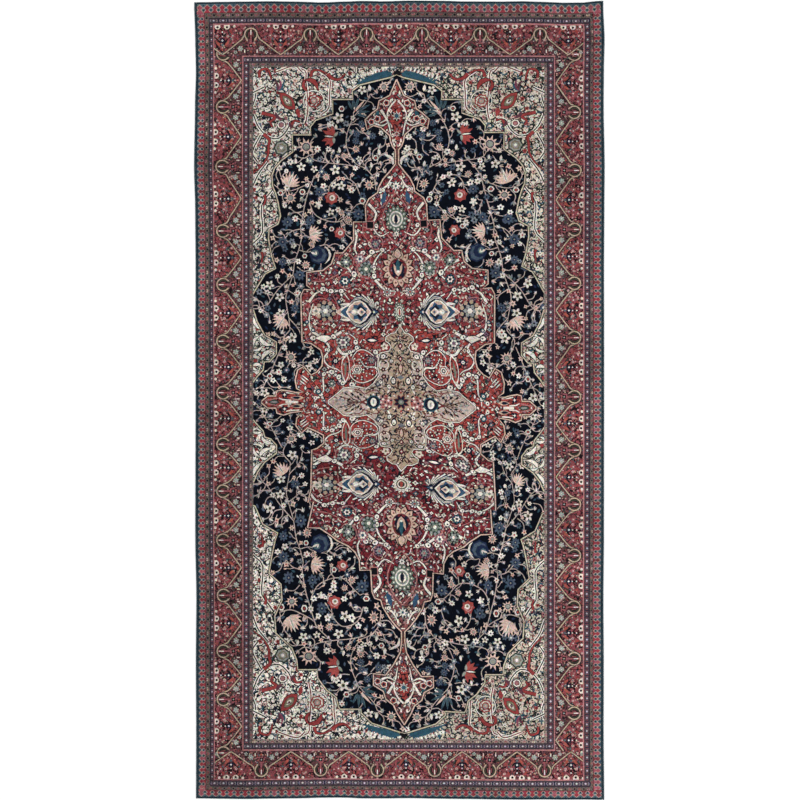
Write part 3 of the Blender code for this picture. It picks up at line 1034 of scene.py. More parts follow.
STEMS = [
    [22+212j, 24+223j, 32+233j, 43+239j, 51+254j, 51+267j, 46+281j, 44+285j, 30+301j, 27+308j],
    [38+234j, 51+237j, 70+239j, 84+242j, 88+247j],
    [70+239j, 81+228j, 87+220j, 97+215j, 109+211j, 120+213j],
    [84+226j, 92+204j, 96+185j, 98+173j, 97+165j, 100+152j, 104+140j, 106+127j, 111+112j, 113+102j,
     110+84j, 109+72j],
    [89+199j, 84+188j, 74+182j, 63+180j, 55+183j, 42+197j],
    [39+209j, 43+218j, 50+223j, 60+224j, 68+217j, 70+209j], [106+127j, 121+112j, 131+97j, 136+92j],
    [98+173j, 108+170j, 116+160j], [100+152j, 90+150j, 80+156j], [111+112j, 101+104j, 103+92j],
    [110+84j, 100+72j, 97+60j], [109+72j, 116+62j, 112+50j, 104+40j, 96+36j],
    [117+56j, 128+30j, 134+18j, 140+6j],
]


def fan_flower(plan, root, tip, size):
    """A half-opened peach flower whose spiky petals spread towards its tip."""
    heading = (tip - root) / abs(tip - root)
    for spread in (-1.15, -0.85, -0.55, -0.25, 0.25, 0.55, 0.85, 1.15, 0.0):
        way = heading * np.exp(1j * spread)
        leaf(
            plan, "peach" if spread else "cream", root, root + way * size * (1.3 - 0.3 * abs(spread)),
            0.24 * size,
        )
    leaf(plan, "sage", root + heading, root + heading * size * 0.95, 1.2)


def feather(plan, root, tip):
    """A flower like a spread of blue-grey feathers round a peach spine."""
    heading = tip - root
    for spread in (-1.15, -0.75, -0.38, 0.38, 0.75, 1.15):
        way = heading * np.exp(1j * spread) * (1.15 - 0.3 * abs(spread))
        leaf(plan, "feather", root + 0.2 * way, root + way, 2.9)
        plan.line("teal", [root + 0.3 * way, root + 0.9 * way], 0.8)
    leaf(plan, "peach", root, tip, 2.6)
    plan.fill("coral", root + 0.15 * heading + 0.9 * DIAMOND)


def stem(plan, route):
    """A pale stem with thin side twigs that end in a leaf."""
    route = smooth(route, 4)
    plan.line("shade", route, 1.8)
    plan.line("stem", route, 0.95, 0.75)
    for root, after in zip(route[3::5], route[4::5]):
        ahead = (after - root) / abs(after - root)
        side = ahead * np.exp(0.75j * rng.choice([-1, 1]))
        tip = root + 6.0 * side + 2.5 * ahead
        plan.line("stem", [root, root + 4.0 * side, tip], 0.7, 0.55)
        leaf(plan, rng.choice(["cream", "peach", "sage", "steel"]), tip - ahead, tip + 2.6 * side, 1.5)


navy = Plan(
    dict(
        navy="060a15", shade="04060c", dusk="1d2740", slate="465262", feather="4c6068", steel="747a82",
        stem="b5a49e", peach="d4b7aa", cream="dad2c8", coral="984643", sage="8b8d85", olive="6f6a58",
        teal="2c4452", pink="ad807e", light="e6dfd6", edge="c6baa4", black="0b0c12",
    ),
    "navy", [navy_outline, field_edge], medallion_outline,
)
rng = np.random.default_rng(33)
for along, outline, inside in ((1, navy_upper, medallion_upper), (-1, navy_lower, medallion_lower)):
    area = np.array([0, *inside[::-1], *outline, 152])
    if along == -1:
        area = raised(area)
    flowers = SUNFLOWERS + STARS + RINGLETS + BLUE_FLOWERS + BUDS + RED_FLOWERS
    taken = [(place, size * 1.25) for place, size in flowers]
    taken += [((root + tip) / 2, 8) for root, tip, _ in FANS]
    taken += [(67+264j, 11), (46+301j, 8), (34+298j, 6), (78+146j, 11)]
    for across in (1, -1):
        navy.turn = quarter(across, along)
        for place in strewn(area, 8.0):
            dye = rng.choice(["dusk", "teal", "shade", "slate"])
            leaf(navy, dye, place, place + 4.5 * np.exp(1j * rng.uniform(0, 6.28)), 2.2)
        for route in STEMS:
            stem(navy, np.array(route))
        knots_on_stems = np.concatenate([smooth(route, 3) for route in STEMS])
        for place in strewn(area, 8.9, taken):
            near = knots_on_stems[np.argmin(abs(knots_on_stems - place))]
            reach = min(abs(near - place), 14.0)
            start = place + (near - place) / max(abs(near - place), 1e-6) * reach
            side = 1j * (place - start) * rng.choice([-0.22, 0.22])
            navy.line("stem", smooth([start, (start + place) / 2 + side, place], 3), 0.8)
            size, kind = rng.uniform(2.2, 3.6), rng.uniform()
            if kind < 0.16:
                petals = int(rng.integers(5, 8))
                petal, eye = rng.choice(["cream", "light"]), rng.choice(["coral", "olive", "dusk"])
                blossom(navy, place, size, petal, eye, petals, rng.uniform(0, 1))
            elif kind < 0.34:
                navy.fill(
                    "peach", place + size * polar([1, 0.5] * int(rng.integers(4, 7)), rng.uniform(0, 1)),
                )
                navy.fill(rng.choice(["coral", "olive"]), place + 0.35 * size * DIAMOND)
            elif kind < 0.52:
                blossom(navy, place, size, rng.choice(["slate", "steel"]), rng.choice(["cream", "navy"]), 6)
            else:
                way = np.exp(1j * rng.uniform(0, 2 * math.pi)) * size
                for spread, dye in (
                    (-0.9, "steel"), (0.9, "stem"), (0.0, rng.choice(["cream", "peach", "sage"])),
                ):
                    leaf(navy, dye, place - 0.6 * way, place + way * np.exp(1j * spread), 0.5 * size)
        for place, size in BLUE_FLOWERS:
            blossom(navy, place, size * 1.1, "slate", "steel", 8)
            navy.fill("dusk", place + 0.45 * size * DISC)
            navy.fill("sage", place + 0.2 * size * DIAMOND)
        for place, size in SUNFLOWERS:
            navy.fill("peach", place + size * polar([1.15, 0.55, 1.0, 0.55] * 5))
            navy.fill("dusk" if size > 5 else "coral", place + 0.5 * size * DISC)
            navy.fill("sage", place + 0.38 * size * DISC)
        for place, size in STARS:
            navy.fill("cream", place + size * polar([1.1, 0.85, 0.42, 0.85] * 5, place.real))
            navy.fill("olive", place + 0.36 * size * DISC)
            navy.fill("black", place + 0.2 * size * DIAMOND)
        for place, size in RINGLETS:
            navy.fill("cream", place + size * polar([1, 0.85] * 6))
            navy.fill("navy", place + 0.58 * size * DISC)
            navy.fill("coral", place + 0.36 * size * DISC)
        for place, size in BUDS:
            leaf(navy, "cream", place - 0.3 * size - 1j * size, place + 1j * size, size)
            leaf(navy, "sage", place - 1j * size, place + size * (0.8 - 0.4j), 0.6 * size)
        for spread in (-1.3, -0.85, -0.42, 0.42, 0.85, 1.3):
            leaf(
                navy, "coral", 64+265j,
                64+265j + 12.5 * np.exp(1j * (0.1 + spread)) * (1.1 - 0.12 * abs(spread)), 4.6,
            )
        for spread in (-1.9, 1.9):
            leaf(navy, "sage", 64+265j, 64+265j + 7 * np.exp(1j * (0.35 + spread)), 3.2)
        leaf(navy, "black", 63+264.8j, 77.5+266.5j, 3.6)
        leaf(navy, "light", 64+265j, 74+266j, 1.6)
        for place, size in RED_FLOWERS:
            navy.fill("coral", place + size * polar([1, 0.78] * 7, 0.2))
            navy.line("pink", place + 0.62 * size * polar([1] * 8)[:5], 0.8)
            navy.fill("cream", place + 0.42 * size * DISC - 0.8)
            navy.fill("olive", place + 0.2 * size * DISC - 0.8)
        for root, tip, size in FANS:
            fan_flower(navy, root, tip, size)
        feather(navy, 44+289j, 32+302.5j)
        for place, size, dye in (
            (80+147j, 9.5, "dusk"), (80+147j, 7.8, "slate"), (82+148.5j, 6.6, "dusk"),
            (83.5+149j, 3.6, "feather"),
        ):
            navy.fill(dye, place + size * polar([1, 0.9] * 8))
        bent_leaf(navy, "cream", 74+156j, 74+138j, 2.2, -0.3)
        leaf(navy, "cream", 88+150j, 82+147j, 2.2)
        leaf(navy, "cream", 82+147j, 83+151j, 1.6)
        leaf(navy, "cream", 6+244j, 14+248.5j, 2.6)
        bent_leaf(navy, "cream", 4+236j, 12+247j, 3.0, 0.25)
navy.turn = None
rimmed(navy, ("black", "edge"), navy_outline, (2.8, 1.2))
navy.fill("black", 1.5 + 328j + np.array([-4 - 3j, 4 - 3j, 2.5 + 4j, -2.5 + 4j]))
rimmed(navy, ("black", "peach"), medallion_outline, (3.2, 1.3))
navy_field = finish_pile("navy_field", navy)


# ---- Medallion --------------------------------------------------------------------------------
# The red medallion in the middle of the field, with its beige centre: large blue palmettes, split
# leaves and a close filling of small flowers. Its lower half was knotted in a deeper lot of red.
CENTRE = [
    76j, 3+72j, 5+69j, 9+68.5j, 14+65j, 14.5+61j, 11+58.5j, 9+55j, 11+51j, 20+49j, 22+42j, 22.5+34.5j,
    21+27j, 27+18.5j, 34+13.5j, 43+15.5j, 56.5+14j, 61.5+9.5j, 71.5+1.5j, 71.5,
]
BAY = np.array([
    42+53j, 36+53.5j, 29+50j, 24.5+45j, 23.5+38j, 24+33j, 22+28j, 27+22j, 37+18j, 45+20j, 50.5+26j,
    49.5+34j, 46+38j, 48+45j, 45+50j,
])
BAY_MIDDLE = 37+35j
LENS_LEFT = [53+47j, 57+42j, 58+33.5j, 57+26j, 54.5+20j]
LENS_RIGHT = [54.5+20j, 51.5+26j, 50.5+34j, 51+42j, 53+47j]
EYE = np.array([
    14.5, 10+6.5j, 4+10.8j, -2+11.8j, -8+8.5j, -12+3.5j, -15, -12-3.5j, -8-8.5j, -2-11.8j, 4-10.8j,
    10-6.5j,
])
CUP = np.array([11.5j, 6+6j, 8.6, 6-7.5j, -10j, -6-7.5j, -8.6, -6+6j])
MEDALLION_HEIGHTS = np.array([
    [-20, 0, 20, 43, 53, 76, 90, 133, 141, 160, 184, 215, 256, 400],
    [-18, 0, 19, 40, 46.5, 69, 82, 121, 131, 151, 176.5, 209, 255, 400],
])
MEDALLION_KEPT = [
    (40+90j, 19), (57+90j, 8), (2+134j, 15), (37+34j, 15), (76+64j, 10), (27+62j, 7), (78+91j, 10),
    (0+14j, 22), (0+40j, 20), (40+4j, 14), (56+4j, 12), (24+10j, 14), (0+60j, 12), (15+55j, 7),
    (54+34j, 7), (56.5+59.5j, 6), (33+133j, 6), (0+185j, 9), (110+3j, 12), (126+2j, 8), (98+22j, 6),
    (54+121j, 4), (53+140j, 5),
]
ARABESQUES = [
    [58+70j, 66+66j, 76+63j, 71+57j, 71+51j, 75.5+43j, 71+36j, 63+33j, 59+30j],
    [62+54j, 56.5+48j, 48+50j, 43+55j, 44+63j, 50+68j], [58+18j, 62+25j, 68+30j, 76+27j, 76+12j, 79+8j],
    [76+114j, 68+110j, 58+111j, 50+102j], [90+100j, 84+108j, 76+112j], [80+66j, 88+72j, 90+84j, 86+98j],
    [36+141j, 25+149j, 15+152j], [24+124j, 26+134j, 22+144j, 12+154j], [24+122j, 14+112j, 4+111j],
    [62+140j, 52+135j, 46+124j, 56+118j], [47+176j, 42+166j, 44+152j, 36+141j],
    [30+198j, 22+188j, 26+176j, 18+166j, 8+170j], [18+212j, 10+216j, 4+226j], [16+292j, 9+280j, 6+266j],
    [26+280j, 16+276j, 8+280j],
]
THIN_RINGS = [
    (53+141j, 8), (36+142j, 7.5), (22+159j, 7), (53+121j, 7.5), (56.5+59.5j, 8.5), (33+133j, 9),
    (12+111j, 6.5), (78+91j, 13),
]
THIN_VINES = [
    [95+102j, 94+86j, 84+75j, 70+72j], [63+80j, 61+95j, 66+106j], [30+72j, 44+70j, 52+74j],
    [60+128j, 75+121j, 90+121j], [30+160j, 36+170j, 33+186j], [14+118j, 18+126j, 16+140j],
    [8+205j, 14+196j, 24+192j], [94+70j, 92+62j, 86+58j, 80+60j],
]
CENTRE_LEAVES = [
    ("umber", 2+63j, 5.5+68j, 1.8), ("umber", 5+64j, 10+66.5j, 1.6), ("navy", 2+59j, 4.5+63j, 1.6),
    ("tan", 9+62j, 12.5+65j, 1.8), ("green", 2.5+47j, 3.6+51.5j, 1.6), ("green", 5+50j, 8+54j, 1.6),
    ("navy", 7.5+46j, 9.5+50.5j, 1.9), ("black", 4+57j, 7+54j, 1.4), ("umber", 2+40j, 4+36j, 1.5),
    ("umber", 1+38j, 2.4+30j, 1.8), ("umber", 4+33j, 5+27j, 1.5), ("tan", 3.5+45j, 6.5+41j, 1.8),
    ("navy", 9+36j, 12+31j, 1.9), ("navy", 7+33j, 6+29j, 1.5), ("black", 13+40j, 16.5+38j, 1.8),
    ("navy", 12.5+46.5j, 18+48j, 1.8), ("light", 13+44.5j, 19+45.5j, 2.2), ("navy", 10+16j, 13+11j, 2.2),
    ("navy", 6+13j, 9+16.5j, 1.8), ("light", 11+13j, 13.5+8.5j, 2), ("navy", 4+9j, 8+11j, 2),
    ("navy", 9+5j, 12.5+7.5j, 2), ("coral", 5+6j, 8+8.5j, 2), ("black", 19+13j, 24+14.5j, 1.5),
    ("black", 30+12.8j, 35+11.6j, 1.5), ("navy", 12+24j, 14+19j, 1.8), ("light", 9+26j, 11+22j, 1.6),
    ("black", 2+22j, 3.6+16j, 1.7), ("light", 20+41j, 21.5+35j, 2.0), ("tan", 14+43j, 19+41j, 1.8),
    ("black", 41+3j, 43+7j, 2.0), ("black", 46+6.5j, 50+9.5j, 2.2), ("navy", 45+2j, 48.6+3.4j, 1.6),
    ("black", 52+7j, 56+9.5j, 2.0), ("black", 50+2.5j, 54+1.6j, 1.8), ("navy", 38+6j, 41.5+9j, 2.0),
    ("black", 57+5j, 61+5.5j, 1.8), ("grey", 60+2j, 65+2.4j, 2.0), ("light", 47+10.5j, 51.5+12j, 1.8),
    ("grey", 55+1j, 59+3j, 2.2),
]


def bay(share=None):
    """The outline of the bay beside the centre, or the same at a share of its size."""
    return BAY if share is None else BAY_MIDDLE + (BAY - BAY_MIDDLE) * share


def great_palmette(plan, middle):
    """A large blue palmette lying across the carpet, its tip pointing outwards."""
    def at(x, y):
        return middle + x + 1j * y

    for way in (1, -1):
        for x, y in ((-19, 5.5), (-16.5, 9.5), (-12.5, 13), (-8, 15.8), (-2.5, 17.6), (3, 18.2), (8.5, 17)):
            rib = smooth([at(-16, 0.5 * way), at(0.45 * x - 8.6, 0.62 * y * way), at(x, y * way)], 2)
            plan.line("navy", rib, 1.6, 2.6)
            plan.line("light", rib, 0.7, 1.4)
    plan.fill("navy", np.array([at(-10, 6), at(-20.5, 0), at(-10, -6)]))
    plan.fill("blue", np.array([at(-10, 4), at(-19, 0), at(-10, -4)]))
    for height, dye in (
        (1.42, "navy"), (1.36, "blue"), (1.29, "light"), (1.24, "navy"), (1.17, "light"), (1.12, "navy"),
    ):
        plan.fill(dye, middle + np.real(EYE) + 1j * height * np.imag(EYE))
    for way in (1, -1):
        leaf(plan, "navy", at(9, 7.5 * way), at(20.5, 8.5 * way), 3.8)
        leaf(plan, "light", at(8, 8 * way), at(19.5, 7.6 * way), 2.8)
    plan.fill("light", np.array([at(24, 0), at(17, 4.5), at(6, 9.5), at(6, -9.5), at(17, -4.5)]))
    plan.fill("peach", np.array([at(23, 0), at(19, 2.5), at(17, 0), at(19, -2.5)]))
    plan.fill("blue", np.array([at(19, 0), at(14, 4.5), at(4, 8.5), at(4, -8.5), at(14, -4.5)]))
    for share, dye in ((1.05, "navy"), (1.0, "light"), (0.88, "peach")):
        plan.fill(dye, middle + 1 + 0.86 * share * np.real(EYE) + 1j * share * np.imag(EYE))
    plan.fill("blue", middle + polar([11.5, 6.5, 9.5, 7, 9.8, 7, 8.5, 6.5, 8.5, 7, 9.8, 7, 9.5, 6.5]))
    plan.fill("navy", middle - 0.5 + polar([9, 4.5, 7.4, 5.5, 7, 5.5, 7.4, 4.5]))
    plan.fill("grey", at(5.0, 0) + 4.2 * polar([1, 0.85] * 5))
    plan.fill("light", at(5.4, 0) + 2.6 * DISC)
    plan.fill("light", at(-1.6, 0) + polar([4.8, 4.2, 4.8, 4.2]))
    plan.fill("peach", at(-2.4, 0) + 2.9 * DIAMOND)
    plan.fill("blue", at(-2.4, 0) + 1.5 * DIAMOND)
    plan.fill("light", at(-14.4, 0) + 1.3 * DIAMOND)


def dotted_palmette(plan, place, size, dyes):
    """A round flower of small dashes in rings."""
    plan.fill(dyes[3], place + 0.98 * size * polar([1, 0.85] * 6))
    for number, (reach, count) in enumerate(((1.0, 9), (0.62, 6))):
        for turn in np.arange(count) * 2 * math.pi / count:
            way = np.exp(1j * (turn + number))
            leaf(
                plan, dyes[number], place + (reach - 0.42) * size * way, place + reach * size * way,
                0.42 * size,
            )
    plan.fill(dyes[2], place + 0.24 * size * DISC)


def eyed_leaf(plan, place, size, heading):
    """The curled end of a pale split leaf, with its dark eye."""
    way = np.exp(1j * heading) * size
    plan.fill(
        "navy", place + 1.35 * way * np.array([-1.3, -0.5 + 0.9j, 0.6 + 0.8j, 1.1, 0.6 - 0.8j, -0.5 - 0.9j]),
    )
    plan.fill("light", place + way * np.array([-1.3, -0.5 + 0.9j, 0.6 + 0.8j, 1.1, 0.6 - 0.8j, -0.5 - 0.9j]))
    plan.fill("navy", place + 0.15 * way + 0.42 * size * DIAMOND)


def oval_palmette(plan, middle, width, height, dyes):
    """A palmette on the middle line: dotted petals round a dark ring, with a bright heart."""
    for turn in np.linspace(0, 2 * math.pi, 15)[:-1]:
        rim = middle + width * math.cos(turn) + 1j * height * math.sin(turn)
        leaf(
            plan, "black", middle + (rim - middle) * 0.5, middle + (rim - middle) * 1.24,
            0.26 * (width + height),
        )
        leaf(
            plan, dyes[0], middle + (rim - middle) * 0.5, middle + (rim - middle) * 1.15,
            0.21 * (width + height),
        )
        plan.fill(dyes[1], middle + (rim - middle) * 0.86 + 0.04 * (width + height) * DIAMOND)
    for share, dye in ((0.66, dyes[1]), (0.56, dyes[2]), (0.48, dyes[0]), (0.38, dyes[1])):
        plan.fill(dye, middle + share * (np.real(ROUND) * width + 1j * np.imag(ROUND) * height))
    leaf(plan, dyes[3], middle - 0.45j * height, middle + 0.45j * height, 0.42 * width)


medallion = Plan(
    dict(
        red="8c3b3f", bright="9d4440", crimson="762a31", rose="7e4a4a", light="e8e0d4", cream="d6c9ba",
        beige="ab9682", ash="bba99f", tan="87705f", umber="4a302b", maroon="6a3434", slate="6a6d74",
        grey="8f9290", sage="6f796e", green="2c3c38", teal="2e5460", blue="36526c", navy="181c2c",
        black="131418", pink="a87573", peach="c9ab9a", mauve="745565", coral="96433d", olive="6b674f",
    ),
    "red", [medallion_outline], None, ("red", "crimson", "bright", "rose"), ("15171d", "8c6a6e", "c0b4a6"),
)
rng = np.random.default_rng(45)
centre_quarter = np.array(CENTRE)
for dye, low, high in (("crimson", -180j, -46j), ("bright", -46j, 75j), ("rose", -340j, -180j)):
    medallion.fill(dye, in_field(np.array([low - 150, low + 150, high + 150, high - 150])))
for along, outline in ((1, medallion_upper), (-1, medallion_lower)):
    red = "red" if along == 1 else "crimson"
    area = np.array([0, *outline, 137])
    if along == -1:
        area = raised(area, MEDALLION_HEIGHTS)
    for across in (1, -1):
        medallion.turn = quarter(across, along, MEDALLION_HEIGHTS)
        for place in strewn(area, 5.9, MEDALLION_KEPT):
            kind, size = rng.uniform(), rng.uniform(1.7, 2.9)
            way = size * np.exp(1j * rng.uniform(0, 2 * math.pi))
            if kind < 0.42:
                medallion.fill(
                    rng.choice(["navy", "black", "green", "navy"]),
                    place + way * np.array([-1.3, 0.8j, 1.3, -0.8j]),
                )
                medallion.fill(
                    rng.choice(["light", "cream", "pink", "light"]),
                    place + way * np.array([-0.8, 0.45j, 0.9, -0.45j]),
                )
            elif kind < 0.6:
                medallion.fill("black", place + 1.25 * size * DIAMOND * way / size)
                medallion.fill(
                    rng.choice(["light", "grey", "cream", "peach", "mauve"]),
                    place + size * polar([1, 0.6] * 4),
                )
                medallion.fill(rng.choice(["navy", "coral", "teal"]), place + 0.35 * size * DIAMOND)
            elif kind < 0.85:
                route = place + way * np.array([-1.4, -0.5 + 0.6j, 0.4 + 0.5j, 1.3 - 0.4j])
                medallion.line(rng.choice(["cream", "pink", "light", "black", "green"]), route, 0.9)
                leaf(medallion, rng.choice(["teal", "navy", "sage"]), place, place + 1j * way, 1.4)
            else:
                medallion.fill(rng.choice(["navy", "teal", "green"]), place + size * polar([1, 0.6] * 4))
                medallion.fill(rng.choice(["light", "peach"]), place + 0.4 * size * DIAMOND)
        for place, size in THIN_RINGS:
            ring(medallion, "pink", place, size, 0.75)
        for route in THIN_VINES:
            medallion.line("pink", smooth(route, 3), 0.8)
        for route in ARABESQUES:
            medallion.line("navy", smooth(route, 3), 4.0, 1.7)
            medallion.line("light", smooth(route, 3), 2.7, 0.7)
        for place, size, heading in (
            (86+64j, 2.6, 3.1), (66+65.5j, 2.4, 0.3), (71+52j, 1.8, 1.4), (75.5+28j, 2, 2.5),
            (68+30j, 2.4, 0.4), (61+25j, 2.4, -0.8), (57+19j, 2.2, -0.8), (48+17.5j, 2.6, 0.2),
            (44+60j, 2.4, 1.6), (43+54j, 2.2, 1.2), (50+50j, 1.8, 0.5), (76+113j, 2.4, 2.8),
            (68+111j, 2.4, 0.2), (58+111j, 2.2, 0.2), (36+149j, 2.4, 2.8), (27+150j, 2.6, 0.2),
            (16+152j, 2.2, 0.4), (25+134j, 2.2, 1.6), (25+126j, 2.4, 1.6), (45+128j, 2.8, 1.2),
            (22+176j, 2.2, 1.0), (79+8j, 2, 0.5), (14+212j, 2, 0.5), (24.5+50j, 2.4, 0.8),
            (88+36j, 2.2, 1.0),
        ):
            eyed_leaf(medallion, place, size, heading)
        medallion.fill("navy", 76+64j + np.array([-9.5, -5+3.2j, 2+3.4j, 9, 3-3.4j, -2-5.6j, -5-3.4j]))
        medallion.fill("light", 76+64j + np.array([-8.5, -4.4+2.4j, 2+2.6j, 8, 3-2.4j, -2-4.6j, -4.4-2.4j]))
        bent_leaf(medallion, "grey", 61+102j, 61+78j, 2.0, -0.2, "navy")
        great_palmette(medallion, 40 + 90j)
        for place, size, dyes in (
            (73.5+91j, 11, ("beige", "grey", "light", "navy")),
            (56.5+59.5j, 7, ("grey", "light", "mauve", "navy")),
            (39+143j, 6, ("pink", "light", "teal", "mauve")),
            (33+133j, 7.5, ("grey", "sage", "light", "green")),
            (23+158j, 5.5, ("mauve", "grey", "pink", "navy")),
            (53+140j, 6.5, ("sage", "grey", "light", "black")),
            (54+121j, 5.5, ("teal", "light", "navy", "navy")),
            (12+110j, 4.5, ("light", "grey", "coral", "navy")),
            (68+18.5j, 4, ("grey", "sage", "light", "navy")),
            (28+42j, 5.5, ("mauve", "grey", "pink", "black")),
        ):
            dotted_palmette(medallion, place, size, dyes)
        blossom(medallion, 83+91j, 5, "cream", "sage", 5)
        leaf(medallion, "navy", 35+62j, 20.5+61.5j, 6)
        leaf(medallion, "light", 32+62j, 23+61.5j, 2.8)
        leaf(medallion, "blue", 15.5+197j, 11+211j, 6)
        leaf(medallion, "teal", 22+284j, 18+292j, 4.5)
        leaf(medallion, "green", 86+21j, 84+27j, 3.4)
        for dye, share in (("navy", None), ("light", 0.955), ("bright", 0.905)):
            medallion.fill(dye, smooth(bay(share), 2, True))
        medallion.line("navy", smooth([22+32j, 26+35j, 33+35j, 37+38j, 40+43j], 3), 3.6, 1.6)
        medallion.line("light", smooth([22+32j, 26+35j, 33+35j, 37+38j, 40+43j], 3), 2.0, 0.8)
        for place in strewn(bay(0.8), 4.2, [(43+32.5j, 5), (28+42j, 4)]):
            medallion.fill("navy", place + 1.7 * polar([1, 0.6] * 4, rng.uniform(0, 1)))
            medallion.fill("light", place + 0.9 * DIAMOND)
        dotted_palmette(medallion, 28.5+42j, 5, ("mauve", "grey", "pink", "black"))
        rings = ((1.0, "light"), (0.86, "bright"), (0.66, "light"), (0.42, "navy"), (0.2, "light"))
        medallion.fill_rings(43+32.5j, polar([1, 0.82] * 6), rings, 5.4)
        lens = np.concatenate([smooth(LENS_LEFT, 2), smooth(LENS_RIGHT, 2)])
        medallion.fill("light", 54.3+33.5j + (lens - 54.3 - 33.5j) * 1.1)
        medallion.fill("bright", 54.3+33.5j + (lens - 54.3 - 33.5j) * 0.93)
        leaf(medallion, "sage", 54+42j, 54.6+25j, 2.4)
        medallion.fill("navy", 64+41j + 4.6 * polar([1, 0.6] * 8))
        medallion.fill("light", 64+41j + 2.0 * polar([1, 0.7] * 6))
        medallion.fill("blue", 64+41j + 0.9 * DIAMOND)
        medallion.fill(red, 15.5+55.5j + polar([6.2, 6, 5.8, 6, 9, 13, 9, 6], -math.pi / 4))
        blossom(medallion, 15.5+55.5j, 3.9, "cream", "olive", 5)
        for place, size in ((81+10.5j, 3.6), (86+72j, 2.6), (92+80j, 2.6), (90+122j, 3), (60+100j, 2.6)):
            rings = ((1.0, "navy"), (0.8, "teal"), (0.4, "light"), (0.15, "navy"))
            medallion.fill_rings(place, polar([1, 0.8] * 6), rings, size)
        for root, tip in ((99+25j, 92+19j), (97.5+27j, 90+21j), (100+22j, 93.5+17j)):
            leaf(medallion, "navy", root, tip, 2.6)
            leaf(medallion, "light", root, tip, 1.3)
        medallion.fill(
            "bright", np.array([98+1.2j, 138+0.8j, 131+5j, 122+6.5j, 120+10j, 108+10j, 103+8j, 98+7j]),
        )
        leaf(medallion, "peach", 95+4.3j, 109+4.3j, 4.4)
        leaf(medallion, "navy", 98.5+4.3j, 107.5+4.3j, 3.0)
        blossom(medallion, 114.5+7.2j, 3.3, "navy", "light", 4, 0.5)
        medallion.fill("light", 114.5+7.2j + 1.8 * polar([1, 0.45] * 4))
        medallion.line("light", np.array([108+1.9j, 116+2.4j, 120+4j]), 1.1)
        medallion.line("light", np.array([100+8.4j, 108+8.8j, 113+9.6j]), 1.1)
        medallion.line("pink", np.array([121.5+3.8j, 126+2.8j, 134+1.6j]), 1.1)
        medallion.fill("light", 84+4j + 2 * DISC)
        medallion.fill("navy", 84+4j + 0.9 * DIAMOND)
        for place in (10.5+299j, 20+283j, 26+280j):
            rings = ((4.5, "navy"), (3.8, "light"), (2.9, "coral"), (1.6, "navy"))
            medallion.fill_rings(place, polar([1, 0.8] * 5), rings)
        medallion.line("light", smooth([0.4+302j, 6+296j, 9.5+289j, 10+283j, 17+279j], 3), 1.7, 0.9)
        for place in (5+276j, 6+301j, 3+309j, 4+261j, 3+257j, 5+224j, 8+215j, 10+228j, 16+205j, 6+218j):
            leaf(medallion, "light", place - 2j, place + 2.4j, 2.0)
        for size, dye in ((4.2, "pink"), (3.2, "black")):
            medallion.fill(dye, 28.4+177j + size * np.array([-1-1j, 1-1j, 1+1j, -1+1j]))
        medallion.fill(red, np.array([64+145j, 64+155.5j, 72+155.5j, 72+145j]))
        medallion.line("peach", np.array([64+156j, 72.4+156j, 72.4+144.6j, 64+144.6j]), 1.1)
        medallion.fill("beige", np.concatenate([centre_quarter, [-2 + 0j, -2 + 76j]]))
for along in (1, -1):
    medallion.turn = quarter(1, along, MEDALLION_HEIGHTS)
    for height in (100, 108, 240, 250, 314):
        medallion.fill("coral", 1j * height + np.array([-1.4, -3.4j, 1.4, 3.4j]))
    medallion.fill("bright", np.array([258j, 3+268j, 6+280j, 5+290j, 303j, -5+290j, -6+280j, -3+268j]))
    oval_palmette(medallion, 133j, 14.5, 16.5, ("peach", "maroon", "crimson", "coral"))
    leaf(medallion, "black", 142j, 155j, 9.5)
    leaf(medallion, "peach", 143j, 153.5j, 7.5)
    medallion.fill("crimson", 133j + CUP)
    medallion.fill("navy", 133j + 0.82 * CUP)
    for way in (1, -1):
        leaf(medallion, "peach", 125.5j, 4.6 * way + 138.5j, 3.8)
        leaf(medallion, "navy", 3 * way + 124j, 7 * way + 128j, 2.4)
    leaf(medallion, "teal", 128j, 144j, 4.6)
    medallion.fill("light", 130.5j + 1.6 * DIAMOND)
    medallion.line("pink", smooth([158j, 8+165j, 14+177j, 14.5+187j, 10+197j, 4+205j, 209j], 3), 1.0)
    medallion.line("pink", smooth([158j, -8+165j, -14+177j, -14.5+187j, -10+197j, -4+205j, 209j], 3), 1.0)
    if along == 1:
        oval_palmette(medallion, 90j, 5.5, 9, ("sage", "light", "green", "coral"))
    else:
        oval_palmette(medallion, 90j, 8, 8.5, ("light", "green", "beige", "coral"))
    oval_palmette(medallion, 183j, 11, 12, ("sage", "light", "grey", "navy"))
    for middle, size, dyes in (
        (168j, 5, ("navy", "light", "navy")), (216j, 7, ("teal", "light", "teal")),
        (268j, 3.5, ("light", "navy", "coral")), (286j, 5.5, ("light", "teal", "blue")),
    ):
        medallion.fill_rings(middle, polar([1, 0.45] * 8), zip((1.0, 0.75, 0.3), dyes), size)
centre = four_quarters(
    centre_quarter, centre_quarter.real + 1j * np.interp(centre_quarter.imag, *MEDALLION_HEIGHTS),
)
